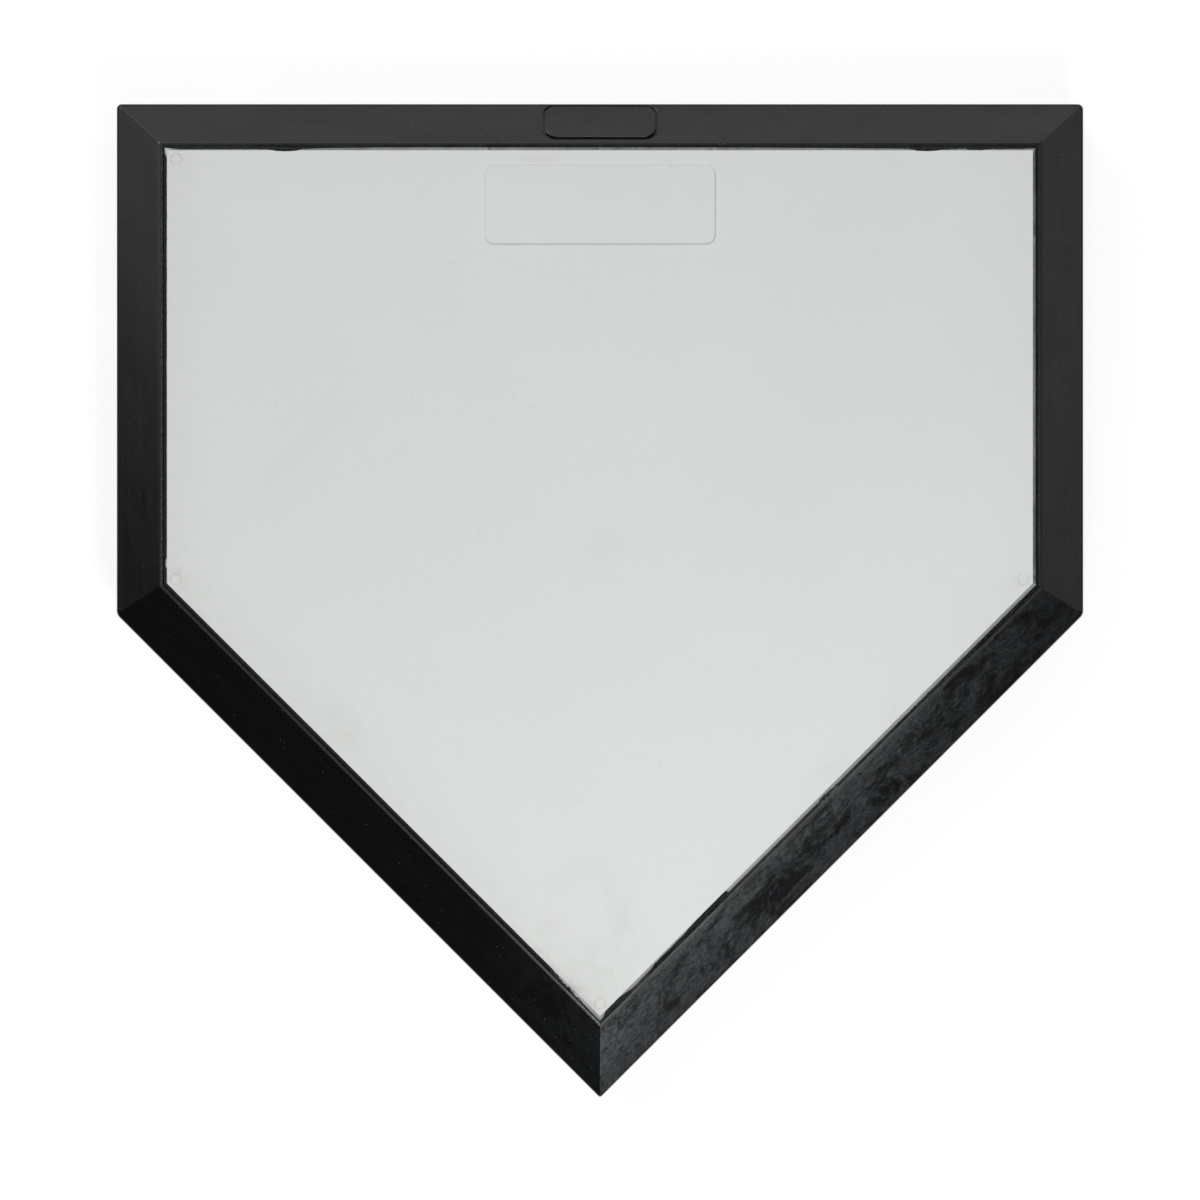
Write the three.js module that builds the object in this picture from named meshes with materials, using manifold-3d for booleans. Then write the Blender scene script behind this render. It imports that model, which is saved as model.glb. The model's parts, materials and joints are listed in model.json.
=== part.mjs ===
// Home plate for a ball field: a white rubber pentagon held in a bevelled black rubber body,
// whose hollow underside is filled with treated boards, nailed in through the rubber skirt.
// Millimetres, +Z up. The straight front edge faces +Y and the point faces -Y.
// The origin is the middle of the object's box, on the plane that it stands on.
import * as THREE from "three";
import { mergeVertices } from "three/addons/utils/BufferGeometryUtils.js";
import Module from "manifold-3d";

// White plate: 17 in wide, 8.5 in along each side, 17 in from the front edge to the point
const PLATE_WIDTH = 431.8;
const PLATE_SIDE = 215.9;
const PLATE_DEPTH = 431.8;
const PLATE_THICKNESS = 12.7;
const PLATE_CORNER = 0.8;
const CHAMFER_RUN = 2;
const CHAMFER_DROP = 2.5;
const FLANGE_WIDTH = 6;
const FLANGE_THICKNESS = 5;

// Bare raised panel on the white plate, near its front edge
const PANEL_WIDTH = 115;
const PANEL_DEPTH = 39.5;
const PANEL_CORNER = 5;
const PANEL_RISE = 0.5;
const PANEL_SETBACK = 7.2;

// Round marks that the mould's locating pins leave near the corners of the white plate
const PIN_MARK_DIAMETER = 5.5;
const PIN_MARK_DEPTH = 0.25;
const PIN_MARK_INSET = 4.4;

// Black rubber body: the border's width in plan on each kind of edge, then its section
const FRONT_BORDER = 25;
const SIDE_BORDER = 27;
const SLANT_BORDER = 30.2;
const BODY_CORNER = 2.4;
const LIP_WIDTH = 3;
const LIP_ROUND = 0.8;
const LIP_CORNER = 1.5;
const BEVEL_DROP = 11.5;
const WEB_THICKNESS = 12.4;
const SKIRT_WALL = 12.7;
const CAVITY_CORNER = 1.5;

// Blank raised pad in the middle of the front bevel
const PAD_WIDTH = 55;
const PAD_MARGIN = 1.8;
const PAD_CORNER = 5.5;
const PAD_RISE = 0.8;

// Boards of nominal 2 in lumber that fill the underside, laid from side to side and ripped to
// equal widths, named from the front to the point
const BOARD_NAMES = ["front_board", "middle_board", "shoulder_board", "point_board"];
const BOARD_THICKNESS = 38.1;
const BOARD_GAP = 0.8;
const BOARD_CLEARANCE = 0.5;

// Large-headed nails, driven in level through the skirt
const NAIL_LENGTH = 38;
const NAIL_DIAMETER = 3.4;
const NAIL_HEAD_DIAMETER = 10;
const NAIL_HEAD_THICKNESS = 1.6;
const NAIL_POINT = 5;
const NAIL_STAGGER = 6;
const FRONT_NAILS = 5;
const BOARD_END_NAILS = 2;
const SHORTEST_NAILED_EDGE = 30;

// Gap between bonded or driven pieces, and how finely round shapes are divided
const FIT_GAP = 0.3;
const CORNER_STEPS = 3;
const ROUND_SIDES = 24;
const NAIL_SIDES = 12;

// Heights, from the ground up
const webBottom = BOARD_THICKNESS + FIT_GAP;
const webTop = webBottom + WEB_THICKNESS;
const plateTop = webTop + PLATE_THICKNESS;
const lipTop = plateTop - CHAMFER_DROP;
const bevelTop = lipTop - LIP_ROUND;
const bevelFoot = lipTop - BEVEL_DROP;

// Distances out from the white plate's top edge
const flangeReach = CHAMFER_RUN + FLANGE_WIDTH;
const lipInner = CHAMFER_RUN + FIT_GAP;
const lipOuter = lipInner + LIP_WIDTH;

// The slanted edges run from a shoulder to the point. Moving a slanted edge out by one unit
// moves the point by pointShift, and rounding the point shortens the body by pointLoss.
const slantRun = PLATE_WIDTH / 2;
const slantRise = PLATE_DEPTH - PLATE_SIDE;
const pointShift = Math.hypot(slantRun, slantRise) / slantRun;
const pointLoss = BODY_CORNER * (pointShift - 1);
const bodyLength = FRONT_BORDER + PLATE_DEPTH + SLANT_BORDER * pointShift - pointLoss;
const plateFront = bodyLength / 2 - FRONT_BORDER;

const whiteRubber = new THREE.MeshStandardMaterial({ color: 0xd5d7d4, roughness: 0.6 });
const blackRubber = new THREE.MeshStandardMaterial({ color: 0x2c2d2e, roughness: 0.5 });
const treatedPine = new THREE.MeshStandardMaterial({ color: 0xa08c5f, roughness: 0.85 });
const galvanisedSteel = new THREE.MeshStandardMaterial({
  color: 0x9da2a5,
  roughness: 0.45,
  metalness: 0.9,
});

const wasm = await Module();
wasm.setup();

// A closed geometry as a solid that can be joined and cut.
function solid(geometry) {
  const bare = geometry.clone();
  bare.deleteAttribute("normal");
  bare.deleteAttribute("uv");
  const merged = mergeVertices(bare);
  return new wasm.Manifold(
    new wasm.Mesh({
      numProp: 3,
      vertProperties: merged.attributes.position.array,
      triVerts: new Uint32Array(merged.index.array),
    }),
  );
}

// A solid as a named mesh with its material.
function meshOf(name, shape, material) {
  const { vertProperties, triVerts } = shape.getMesh();
  const geometry = new THREE.BufferGeometry();
  geometry.setAttribute("position", new THREE.BufferAttribute(vertProperties, 3));
  geometry.setIndex(new THREE.BufferAttribute(triVerts, 1));
  geometry.computeVertexNormals();
  const mesh = new THREE.Mesh(geometry, material);
  mesh.name = name;
  return mesh;
}

// The pentagon's corners with its edges moved out by the given distances, counter-clockwise:
// front right, front left, left shoulder, point, right shoulder.
function pentagon(front, side, slant) {
  const halfWidth = PLATE_WIDTH / 2 + side;
  const frontY = plateFront + front;
  const pointY = plateFront - PLATE_DEPTH - slant * pointShift;
  const shoulderY = pointY + (halfWidth * slantRise) / slantRun;
  return [
    new THREE.Vector2(halfWidth, frontY),
    new THREE.Vector2(-halfWidth, frontY),
    new THREE.Vector2(-halfWidth, shoulderY),
    new THREE.Vector2(0, pointY),
    new THREE.Vector2(halfWidth, shoulderY),
  ];
}

// The pentagon moved out by the same distance on every edge.
function evenPentagon(distance) {
  return pentagon(distance, distance, distance);
}

// The body's outline, moved in by a wall thickness on every edge.
function bodyPentagon(wall) {
  return pentagon(FRONT_BORDER - wall, SIDE_BORDER - wall, SLANT_BORDER - wall);
}

// A closed ring of points at one height: the corners, rounded in plan.
function ring(corners, radius, z) {
  return corners.flatMap((corner, i) => {
    const before = corners.at(i - 1).clone().sub(corner).normalize();
    const after = corners[(i + 1) % corners.length].clone().sub(corner).normalize();
    const halfAngle = Math.acos(before.dot(after)) / 2;
    const inward = before.add(after).normalize();
    const centre = corner.clone().addScaledVector(inward, radius / Math.sin(halfAngle));
    const turn = Math.PI - 2 * halfAngle;
    const middle = inward.clone().negate().angle();
    return Array.from({ length: CORNER_STEPS + 1 }, (_, step) => {
      const angle = middle + turn * (step / CORNER_STEPS - 0.5);
      const x = centre.x + radius * Math.cos(angle);
      const y = centre.y + radius * Math.sin(angle);
      return new THREE.Vector3(x, y, z);
    });
  });
}

// One closed body through rings of equal count: walls from ring to ring, and a flat cap on the
// first ring, facing down, and on the last, facing up.
function loft(rings) {
  const count = rings[0].length;
  const flat = rings.map((points) => points.map((p) => new THREE.Vector2(p.x, p.y)));
  const index = [];
  for (let level = 0; level + 1 < rings.length; level++) {
    for (let i = 0; i < count; i++) {
      const a = level * count + i;
      const b = level * count + ((i + 1) % count);
      index.push(a, b, b + count, a, b + count, a + count);
    }
  }
  for (const [a, b, c] of THREE.ShapeUtils.triangulateShape(flat[0], [])) {
    index.push(c, b, a);
  }
  const last = (rings.length - 1) * count;
  for (const triangle of THREE.ShapeUtils.triangulateShape(flat.at(-1), [])) {
    index.push(...triangle.map((corner) => last + corner));
  }
  const geometry = new THREE.BufferGeometry().setFromPoints(rings.flat());
  geometry.setIndex(index);
  return geometry;
}

// A plate with round corners, centred in plan, from z = -root up to z = rise.
function roundedPlate(width, depth, corner, root, rise) {
  const x = width / 2 - corner;
  const y = depth / 2 - corner;
  const shape = new THREE.Shape();
  shape.absarc(x, y, corner, 0, Math.PI / 2);
  shape.absarc(-x, y, corner, Math.PI / 2, Math.PI);
  shape.absarc(-x, -y, corner, Math.PI, 1.5 * Math.PI);
  shape.absarc(x, -y, corner, 1.5 * Math.PI, 2 * Math.PI);
  const geometry = new THREE.ExtrudeGeometry(shape, {
    depth: root + rise,
    bevelEnabled: false,
    curveSegments: ROUND_SIDES / 4,
  });
  return geometry.translate(0, 0, -root);
}

// White plate: a slab whose flange is locked under the black lip, with a chamfer up to its top,
// the bare panel, and a pin mark at every corner but the front right one.
function whitePlate() {
  const flange = evenPentagon(flangeReach);
  const neck = evenPentagon(CHAMFER_RUN);
  let shape = solid(
    loft([
      ring(flange, PLATE_CORNER, webTop),
      ring(flange, PLATE_CORNER, webTop + FLANGE_THICKNESS),
      ring(neck, PLATE_CORNER, webTop + FLANGE_THICKNESS),
      ring(neck, PLATE_CORNER, lipTop),
      ring(evenPentagon(0), PLATE_CORNER, plateTop),
    ]),
  );
  const panelY = plateFront - PANEL_SETBACK - PANEL_DEPTH / 2;
  const panel = roundedPlate(PANEL_WIDTH, PANEL_DEPTH, PANEL_CORNER, PANEL_RISE, PANEL_RISE);
  shape = shape.add(solid(panel.translate(0, panelY, plateTop)));
  for (const { x, y } of evenPentagon(-PIN_MARK_INSET).slice(1)) {
    const radius = PIN_MARK_DIAMETER / 2;
    const pin = new THREE.CylinderGeometry(radius, radius, 2 * PIN_MARK_DEPTH, ROUND_SIDES);
    pin.rotateX(Math.PI / 2);
    shape = shape.subtract(solid(pin.translate(x, y, plateTop)));
  }
  return meshOf("white_plate", shape, whiteRubber);
}

// The blank pad, laid on the slope of the front bevel.
function frontPad() {
  const run = FRONT_BORDER - lipOuter;
  const fall = bevelTop - bevelFoot;
  const depth = Math.hypot(run, fall) - 2 * PAD_MARGIN;
  const pad = roundedPlate(PAD_WIDTH, depth, PAD_CORNER, PAD_RISE, PAD_RISE);
  pad.rotateX(-Math.atan2(fall, run));
  return pad.translate(0, plateFront + lipOuter + run / 2, bevelFoot + fall / 2);
}

// Black body: from the ceiling of the hollow underside down its walls, under the skirt, up the
// outside, over the bevel and the lip, and down into the pocket that holds the white plate.
function rubberBody(nails) {
  const cavity = bodyPentagon(SKIRT_WALL);
  const outside = bodyPentagon(0);
  const mouth = evenPentagon(lipInner);
  const pocket = evenPentagon(flangeReach + FIT_GAP);
  const pocketTop = webTop + FLANGE_THICKNESS + FIT_GAP;
  let shape = solid(
    loft([
      ring(cavity, CAVITY_CORNER, webBottom),
      ring(cavity, CAVITY_CORNER, 0),
      ring(outside, BODY_CORNER, 0),
      ring(outside, BODY_CORNER, bevelFoot),
      ring(evenPentagon(lipOuter), LIP_CORNER, bevelTop),
      ring(evenPentagon(lipOuter - LIP_ROUND), LIP_CORNER, lipTop),
      ring(mouth, PLATE_CORNER, lipTop),
      ring(mouth, PLATE_CORNER, pocketTop),
      ring(pocket, PLATE_CORNER, pocketTop),
      ring(pocket, PLATE_CORNER, webTop),
    ]),
  );
  shape = shape.add(solid(frontPad()));
  for (const nail of nails) {
    shape = shape.subtract(nailHole(nail));
  }
  return meshOf("rubber_body", shape, blackRubber);
}

// The strips of the underside that the boards fill, from the front to the point.
function boardStrips() {
  const [corner, , , point] = bodyPentagon(SKIRT_WALL + BOARD_CLEARANCE);
  const pitch = (corner.y - point.y + BOARD_GAP) / BOARD_NAMES.length;
  return BOARD_NAMES.map((name, i) => {
    const top = corner.y - i * pitch;
    return { name, top, bottom: top - pitch + BOARD_GAP };
  });
}

// One board: the outline of the hollow, less its clearance, cut to the board's strip.
function board(strip, nails) {
  const outline = bodyPentagon(SKIRT_WALL + BOARD_CLEARANCE);
  const fill = solid(
    loft([ring(outline, CAVITY_CORNER, 0), ring(outline, CAVITY_CORNER, BOARD_THICKNESS)]),
  );
  const length = 2 * outline[0].x;
  const width = strip.top - strip.bottom;
  const plank = new THREE.BoxGeometry(length, width, BOARD_THICKNESS);
  plank.translate(0, strip.bottom + width / 2, BOARD_THICKNESS / 2);
  let shape = fill.intersect(solid(plank));
  for (const nail of nails) {
    shape = shape.subtract(nailHole(nail));
  }
  return meshOf(strip.name, shape, treatedPine);
}

// A nail along Y, with its head's outer face at y = cover, and all of it thicker by a clearance.
function nailGeometry(clearance, cover) {
  const shank = NAIL_DIAMETER / 2 + clearance;
  const head = NAIL_HEAD_DIAMETER / 2 + clearance;
  const neck = -NAIL_HEAD_THICKNESS - clearance;
  const profile = [
    new THREE.Vector2(0, -NAIL_LENGTH - clearance),
    new THREE.Vector2(shank, NAIL_POINT - NAIL_LENGTH - clearance),
    new THREE.Vector2(shank, neck),
    new THREE.Vector2(head, neck),
    new THREE.Vector2(head, cover),
    new THREE.Vector2(0, cover),
  ];
  return new THREE.LatheGeometry(profile, NAIL_SIDES);
}

// The way from a nail's own frame, along Y, to its place in the skirt.
function nailMatrix({ position, outward }) {
  const turn = new THREE.Quaternion().setFromUnitVectors(new THREE.Vector3(0, 1, 0), outward);
  return new THREE.Matrix4().compose(position, turn, new THREE.Vector3(1, 1, 1));
}

// The hole for a nail, open to the outside of the skirt.
function nailHole(nail) {
  return solid(nailGeometry(FIT_GAP, NAIL_HEAD_THICKNESS).applyMatrix4(nailMatrix(nail)));
}

// Every nail's name and place. A wall is nailed along each stretch that one board lies behind.
// Left and right nails are at different heights, so that they can't meet inside the wood.
function nailPlaces(strips) {
  const [frontRight, frontLeft, leftShoulder, point, rightShoulder] = bodyPentagon(SKIRT_WALL);
  const walls = [
    { name: "front", from: frontLeft, to: frontRight, count: FRONT_NAILS, lift: 0 },
    { name: "left", from: frontLeft, to: leftShoulder, lift: NAIL_STAGGER },
    { name: "left_slant", from: leftShoulder, to: point, lift: NAIL_STAGGER },
    { name: "right", from: frontRight, to: rightShoulder, lift: -NAIL_STAGGER },
    { name: "right_slant", from: rightShoulder, to: point, lift: -NAIL_STAGGER },
  ];
  return walls.flatMap(({ name, from, to, lift, count = BOARD_END_NAILS }) => {
    const along = to.clone().sub(from);
    const sideways = new THREE.Vector2(along.y, -along.x).normalize();
    const outward = sideways.dot(from) > 0 ? sideways : sideways.negate();
    const z = BOARD_THICKNESS / 2 + lift;
    const shortest = SHORTEST_NAILED_EDGE / along.length();
    return stretches(from, to, strips)
      .filter(([start, end]) => end - start > shortest)
      .flatMap(([start, end]) => spread(start, end, count))
      .map((share, i) => {
        const place = from.clone().addScaledVector(along, share);
        place.addScaledVector(outward, SKIRT_WALL);
        return {
          name: `${name}_nail_${i + 1}`,
          position: new THREE.Vector3(place.x, place.y, z),
          outward: new THREE.Vector3(outward.x, outward.y, 0),
        };
      });
  });
}

// The shares of a wall, from 0 at its start to 1 at its end, that have one board behind them.
function stretches(from, to, strips) {
  const fall = from.y - to.y;
  if (fall === 0) return [[0, 1]];
  return strips
    .map(({ top, bottom }) => [(from.y - top) / fall, (from.y - bottom) / fall])
    .map((ends) => ends.map((share) => THREE.MathUtils.clamp(share, 0, 1)));
}

// The shares at which a count of nails stand along one stretch, evenly spaced.
function spread(start, end, count) {
  return Array.from({ length: count }, (_, i) => start + ((end - start) * (i + 0.5)) / count);
}

// One nail in its hole, with its head flush with the skirt.
function nailMesh(nail) {
  const mesh = new THREE.Mesh(nailGeometry(0, 0), galvanisedSteel);
  mesh.name = nail.name;
  mesh.applyMatrix4(nailMatrix(nail));
  return mesh;
}

const strips = boardStrips();
const nails = nailPlaces(strips);

const boards = new THREE.Group();
boards.add(...strips.map((strip) => board(strip, nails)));

const fasteners = new THREE.Group();
fasteners.add(...nails.map(nailMesh));

const homePlate = new THREE.Group();
homePlate.add(whitePlate(), rubberBody(nails), boards, fasteners);

export default homePlate;
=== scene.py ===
# %% [markdown]
# # A home plate, from bare solids to rubber, wood and zinc
#
# The frame that this notebook loads is a home plate as it comes apart on a bench: a white rubber
# plate, the black rubber body that holds it, four boards in the hollow underside and the nails that
# hold them. Those solids have the right sizes and places, but hard edges and flat colours. Each step
# below makes one piece or one finish as the real one is made, and says why it was done that way.

import json
import math

import bpy
import numpy as np
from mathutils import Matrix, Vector

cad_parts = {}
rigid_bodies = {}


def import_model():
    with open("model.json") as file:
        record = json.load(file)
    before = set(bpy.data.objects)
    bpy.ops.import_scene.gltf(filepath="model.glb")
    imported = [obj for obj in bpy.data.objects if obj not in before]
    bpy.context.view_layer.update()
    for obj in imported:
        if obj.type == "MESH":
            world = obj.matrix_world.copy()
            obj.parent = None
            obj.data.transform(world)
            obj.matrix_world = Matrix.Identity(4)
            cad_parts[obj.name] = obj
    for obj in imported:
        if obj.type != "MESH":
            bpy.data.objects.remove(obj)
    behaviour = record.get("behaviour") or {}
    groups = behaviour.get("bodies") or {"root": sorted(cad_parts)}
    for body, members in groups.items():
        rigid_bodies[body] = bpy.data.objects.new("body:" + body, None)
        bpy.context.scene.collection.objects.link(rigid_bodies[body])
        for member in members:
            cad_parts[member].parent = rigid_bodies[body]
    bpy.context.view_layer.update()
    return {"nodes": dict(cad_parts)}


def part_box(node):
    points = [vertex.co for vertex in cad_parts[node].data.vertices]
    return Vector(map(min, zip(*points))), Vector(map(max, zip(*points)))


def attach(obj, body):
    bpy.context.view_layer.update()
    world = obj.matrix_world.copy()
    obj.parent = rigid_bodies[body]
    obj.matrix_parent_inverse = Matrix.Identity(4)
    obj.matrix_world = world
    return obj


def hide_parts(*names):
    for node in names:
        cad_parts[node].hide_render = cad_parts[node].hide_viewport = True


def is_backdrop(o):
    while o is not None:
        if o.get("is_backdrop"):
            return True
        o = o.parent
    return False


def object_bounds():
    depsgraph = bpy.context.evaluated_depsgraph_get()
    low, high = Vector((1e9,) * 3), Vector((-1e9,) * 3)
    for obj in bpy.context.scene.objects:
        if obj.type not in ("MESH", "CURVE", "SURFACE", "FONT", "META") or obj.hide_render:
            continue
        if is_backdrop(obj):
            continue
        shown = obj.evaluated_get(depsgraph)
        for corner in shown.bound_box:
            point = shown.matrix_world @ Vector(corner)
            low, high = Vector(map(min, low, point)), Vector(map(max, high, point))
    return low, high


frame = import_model()
scene = bpy.context.scene
MM = 0.001
print("nodes in the frame:", len(frame["nodes"]))

# %% [markdown]
# ## Sizes
#
# The rules of the game fix the white face: 17 inches across, 8.5 inches down each side and 17 inches
# from the front edge to the point. The boxes of the frame's nodes give the black border and the
# heights. The few sizes that no box shows, such as the lip's width, are named here once. Everything
# in this notebook is worked out in millimetres, and turned to Blender's metres at the last moment.

# %% Sizes in millimetres
PLATE_WIDTH = 431.8
PLATE_SIDE = 215.9
PLATE_DEPTH = 431.8
CHAMFER_RUN = 2.0
CHAMFER_DROP = 2.5
FLANGE_REACH = 8.0
FLANGE_THICKNESS = 5.0
PANEL_RISE = 0.5
SLANT_BORDER = 30.2
LIP_WIDTH = 3.0
LIP_ROUND = 0.8
BEVEL_DROP = 11.5
SKIRT_WALL = 12.7
FIT_GAP = 0.3


def box_of(node):
    """Lowest and highest corner of a CAD node, in millimetres."""
    low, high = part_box(node)
    return np.array(low) / MM, np.array(high) / MM


plate_low, plate_high = box_of("white_plate")
body_high = box_of("rubber_body")[1]
board_high = box_of("front_board")[1]

plate_top = plate_high[2] - PANEL_RISE
plate_front = plate_high[1] - FLANGE_REACH
web_top = plate_low[2]
web_bottom = board_high[2] + FIT_GAP
lip_top = plate_top - CHAMFER_DROP
bevel_top = lip_top - LIP_ROUND
bevel_foot = lip_top - BEVEL_DROP
lip_inner = CHAMFER_RUN + FIT_GAP
lip_outer = lip_inner + LIP_WIDTH
half_width = PLATE_WIDTH / 2
front_border = body_high[1] - plate_front
side_border = body_high[0] - half_width
print(f"borders: front {front_border:.1f}, side {side_border:.1f}, slant {SLANT_BORDER:.1f} mm")
print(f"heights: bevel foot {bevel_foot:.1f}, lip {lip_top:.1f}, white face {plate_top:.1f} mm")

# %% [markdown]
# ## The camera
#
# The picture is a plan view: the camera looks straight down, with the front edge at the top. How far
# away it stands shows in the border. The outer edge lies 14 mm lower than the white face and is drawn
# about 0.7 % smaller for it, which puts the camera about 2 m up. The lens then follows from how many
# pixels one millimetre of the white face covers.

# %% Camera
IMAGE_PIXELS = 1200
PIXELS_PER_MM = 2.0045
CAMERA_ABOVE_FACE = 2000
SENSOR_WIDTH = 36

camera = bpy.data.objects.new("camera", bpy.data.cameras.new("camera"))
camera.data.sensor_width = SENSOR_WIDTH
camera.data.lens = SENSOR_WIDTH * PIXELS_PER_MM * CAMERA_ABOVE_FACE / IMAGE_PIXELS
camera.location = (0, 0, (plate_top + CAMERA_ABOVE_FACE) * MM)
scene.collection.objects.link(camera)
scene.camera = camera
print(f"lens {camera.data.lens:.1f} mm, {camera.location.z:.2f} m above the floor")

# %% [markdown]
# ## Pentagons, rings and grids
#
# Every outline on this object is the same pentagon with its edges moved out or in. A moulded wall is
# then a profile carried round that outline: one ring of points for each stop of the profile, with
# equal counts, so that neighbouring rings make rows of quads. The helpers here work on whole numpy
# arrays. They are used for every piece.

# %% The pentagon with its edges moved
SLANT_RISE = (PLATE_DEPTH - PLATE_SIDE) / half_width
POINT_SHIFT = math.hypot(1, SLANT_RISE)


def pentagon(front, side, slant, more_right=0.0):
    """Corners of the white face with its edges moved out by these distances, the right slant by more.

    Counter-clockwise: front right, front left, left shoulder, point, right shoulder. Moving a slanted
    edge out by one moves the point by the length of the slope per unit of width."""
    half = half_width + side
    front_y = plate_front + front
    point_y = plate_front - PLATE_DEPTH - slant * POINT_SHIFT
    left_y = point_y + half * SLANT_RISE
    right_y = left_y - more_right * POINT_SHIFT
    aside = more_right * POINT_SHIFT / 2
    point = (aside / SLANT_RISE, point_y - aside)
    return np.array([(half, front_y), (-half, front_y), (-half, left_y), point, (half, right_y)])


def even_pentagon(out):
    """The pentagon moved out by the same distance on every edge."""
    return pentagon(out, out, out)


def body_pentagon(wall):
    """The black body's outline, moved in by a wall's thickness."""
    return pentagon(front_border - wall, side_border - wall, SLANT_BORDER - wall)


def edges_of(corners):
    """The way from each corner of an outline to the next."""
    return np.roll(corners, -1, axis=0) - corners


face_corners = even_pentagon(0)
print("corners of the white face:", face_corners.round(1).tolist())

# %% Rings round the pentagon
CORNER_STEPS = 9


def corner_arc(before, corner, after, radius):
    """Points of the arc that touches both edges at a corner: its centre lies on the line that halves
    the corner's angle, at radius / sin(half the angle) from the corner."""
    to_before = (before - corner) / np.linalg.norm(before - corner)
    to_after = (after - corner) / np.linalg.norm(after - corner)
    half_angle = math.acos(np.clip(to_before @ to_after, -1, 1)) / 2
    inward = (to_before + to_after) / np.linalg.norm(to_before + to_after)
    centre = corner + inward * radius / math.sin(half_angle)
    middle = math.atan2(-inward[1], -inward[0])
    angles = middle + (math.pi - 2 * half_angle) * np.linspace(-0.5, 0.5, CORNER_STEPS)
    return centre + radius * np.column_stack((np.cos(angles), np.sin(angles)))


def rounded_ring(corners, radius, shares):
    """A closed ring: an arc at each corner, then points at the given shares of the straight edge. The
    radius is one number, or one for each corner."""
    radii = np.broadcast_to(radius, 5)
    arcs = [corner_arc(corners[i - 1], corners[i], corners[(i + 1) % 5], radii[i]) for i in range(5)]
    parts = []
    for i in range(5):
        start, end = arcs[i][-1], arcs[(i + 1) % 5][0]
        parts += [arcs[i], start + shares[i][:, None] * (end - start)]
    return np.concatenate(parts)


def quarter_circle(radius, steps):
    """A rounded edge, as distances from the two planes that it joins: the first falls from the radius
    to zero while the second rises from zero to the radius."""
    turn = np.linspace(0, math.pi / 2, steps)
    return radius * np.column_stack((1 - np.sin(turn), 1 - np.cos(turn)))


def grid_lines(length, wide, fine, spots):
    """Places from 0 to length, wide apart in general and fine apart near each (place, reach) spot.

    A line is drawn each time the running total of distance / spacing passes a whole number."""
    place = np.linspace(0, length, 8001)
    near = [np.abs(place - centre) < reach for centre, reach in spots]
    spacing = np.where(np.any(near, axis=0), fine, wide)
    total = np.concatenate(([0], np.cumsum(np.diff(place) / spacing[1:])))
    return np.interp(np.linspace(0, total[-1], math.ceil(total[-1]) + 1), total, place)


def level(plan, z):
    """A ring in plan, lifted to one height."""
    return np.column_stack((plan, np.full(len(plan), float(z))))


# %% Meshes from grids
# Faces with more square millimetres than this stay flat
LARGE_FACE = 300


def grid_index(points):
    """The number of each point of a grid, in the shape of the grid."""
    return np.arange(points.shape[0] * points.shape[1]).reshape(points.shape[:2])


def grid_faces(index, closed):
    """Quads between neighbouring rows and columns of a grid of vertex numbers.

    Each quad runs along its row, then on to the next row. A closed grid joins its last column to its
    first."""
    if closed:
        index = np.column_stack((index, index[:, 0]))
    corners = (index[:-1, :-1], index[:-1, 1:], index[1:, 1:], index[1:, :-1])
    return np.stack(corners, axis=-1).reshape(-1, 4).tolist()


def make_piece(name, points, faces):
    """A mesh object from points in millimetres and faces as lists of vertex numbers.

    Faces are shaded smooth. Only large ones stay flat, so that a wide flat side keeps its own normal
    beside a small round edge."""
    mesh = bpy.data.meshes.new(name)
    mesh.from_pydata((points * MM).tolist(), [], faces)
    areas = np.empty(len(mesh.polygons), np.float32)
    mesh.polygons.foreach_get("area", areas)
    mesh.polygons.foreach_set("use_smooth", areas < LARGE_FACE * MM * MM)
    mesh.update()
    piece = bpy.data.objects.new(name, mesh)
    scene.collection.objects.link(piece)
    return piece


def make_tube(name, rings):
    """A piece from closed rings of points, one after the other, with a flat cap on the first and last."""
    index = grid_index(rings)
    caps = [index[0][::-1].tolist(), index[-1].tolist()]
    return make_piece(name, rings.reshape(-1, 3), grid_faces(index, closed=True) + caps)


def add_values(piece, **values):
    """Numbers for each vertex, which a material can read by their name."""
    for name, numbers in values.items():
        attribute = piece.data.attributes.new(name, "FLOAT", "POINT")
        attribute.data.foreach_set("value", np.asarray(numbers, np.float32).ravel())


def add_vectors(piece, name, vectors):
    """A vector for each vertex, in millimetres, which a material can read in metres."""
    attribute = piece.data.attributes.new(name, "FLOAT_VECTOR", "POINT")
    attribute.data.foreach_set("vector", (vectors * MM).astype(np.float32).ravel())


def finish_piece(piece, material, slot, *nodes):
    """Gives a piece its material, hangs it on the root body and hides the CAD nodes that it stands for."""
    piece.data.materials.append(material)
    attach(piece, "root")
    if nodes:
        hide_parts(*nodes)
    print(f"{piece.name}: {len(piece.data.vertices)} points, {len(piece.data.polygons)} faces")


# %% Smooth shapes, some by chance
chance = np.random.default_rng(17)


def ease(value):
    """A smooth step: 0 up to 0, 1 from 1 on, and level at both ends."""
    share = np.clip(value, 0, 1)
    return share * share * (3 - 2 * share)


def bell(*distances):
    """A bell curve: 1 in the middle, falling off with distances that are given in its half widths."""
    return np.exp(-sum(distance**2 for distance in distances))


def waves(x, y, longest, count):
    """Gentle unevenness between about -1 and 1: the mean of some sine waves, each in a direction and
    with a phase by chance, whose lengths go from longest down to a quarter of it."""
    angle, phase = chance.uniform(0, 2 * math.pi, (2, count))
    turns = 2 * math.pi / (longest * np.linspace(1, 0.25, count))
    total = sum(
        np.sin((x * math.cos(a) + y * math.sin(a)) * turn + p)
        for a, p, turn in zip(angle, phase, turns)
    )
    return total * 1.5 / count


def wander(along, step):
    """Smooth noise along a line, between -1 and 1: a height by chance every step, joined by curves
    that are level at each height."""
    place = along / step
    low = np.floor(place).astype(int)
    heights = chance.uniform(-1, 1, low.max() + 2)
    share = ease(place - low)
    return heights[low] * (1 - share) + heights[low + 1] * share


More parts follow.
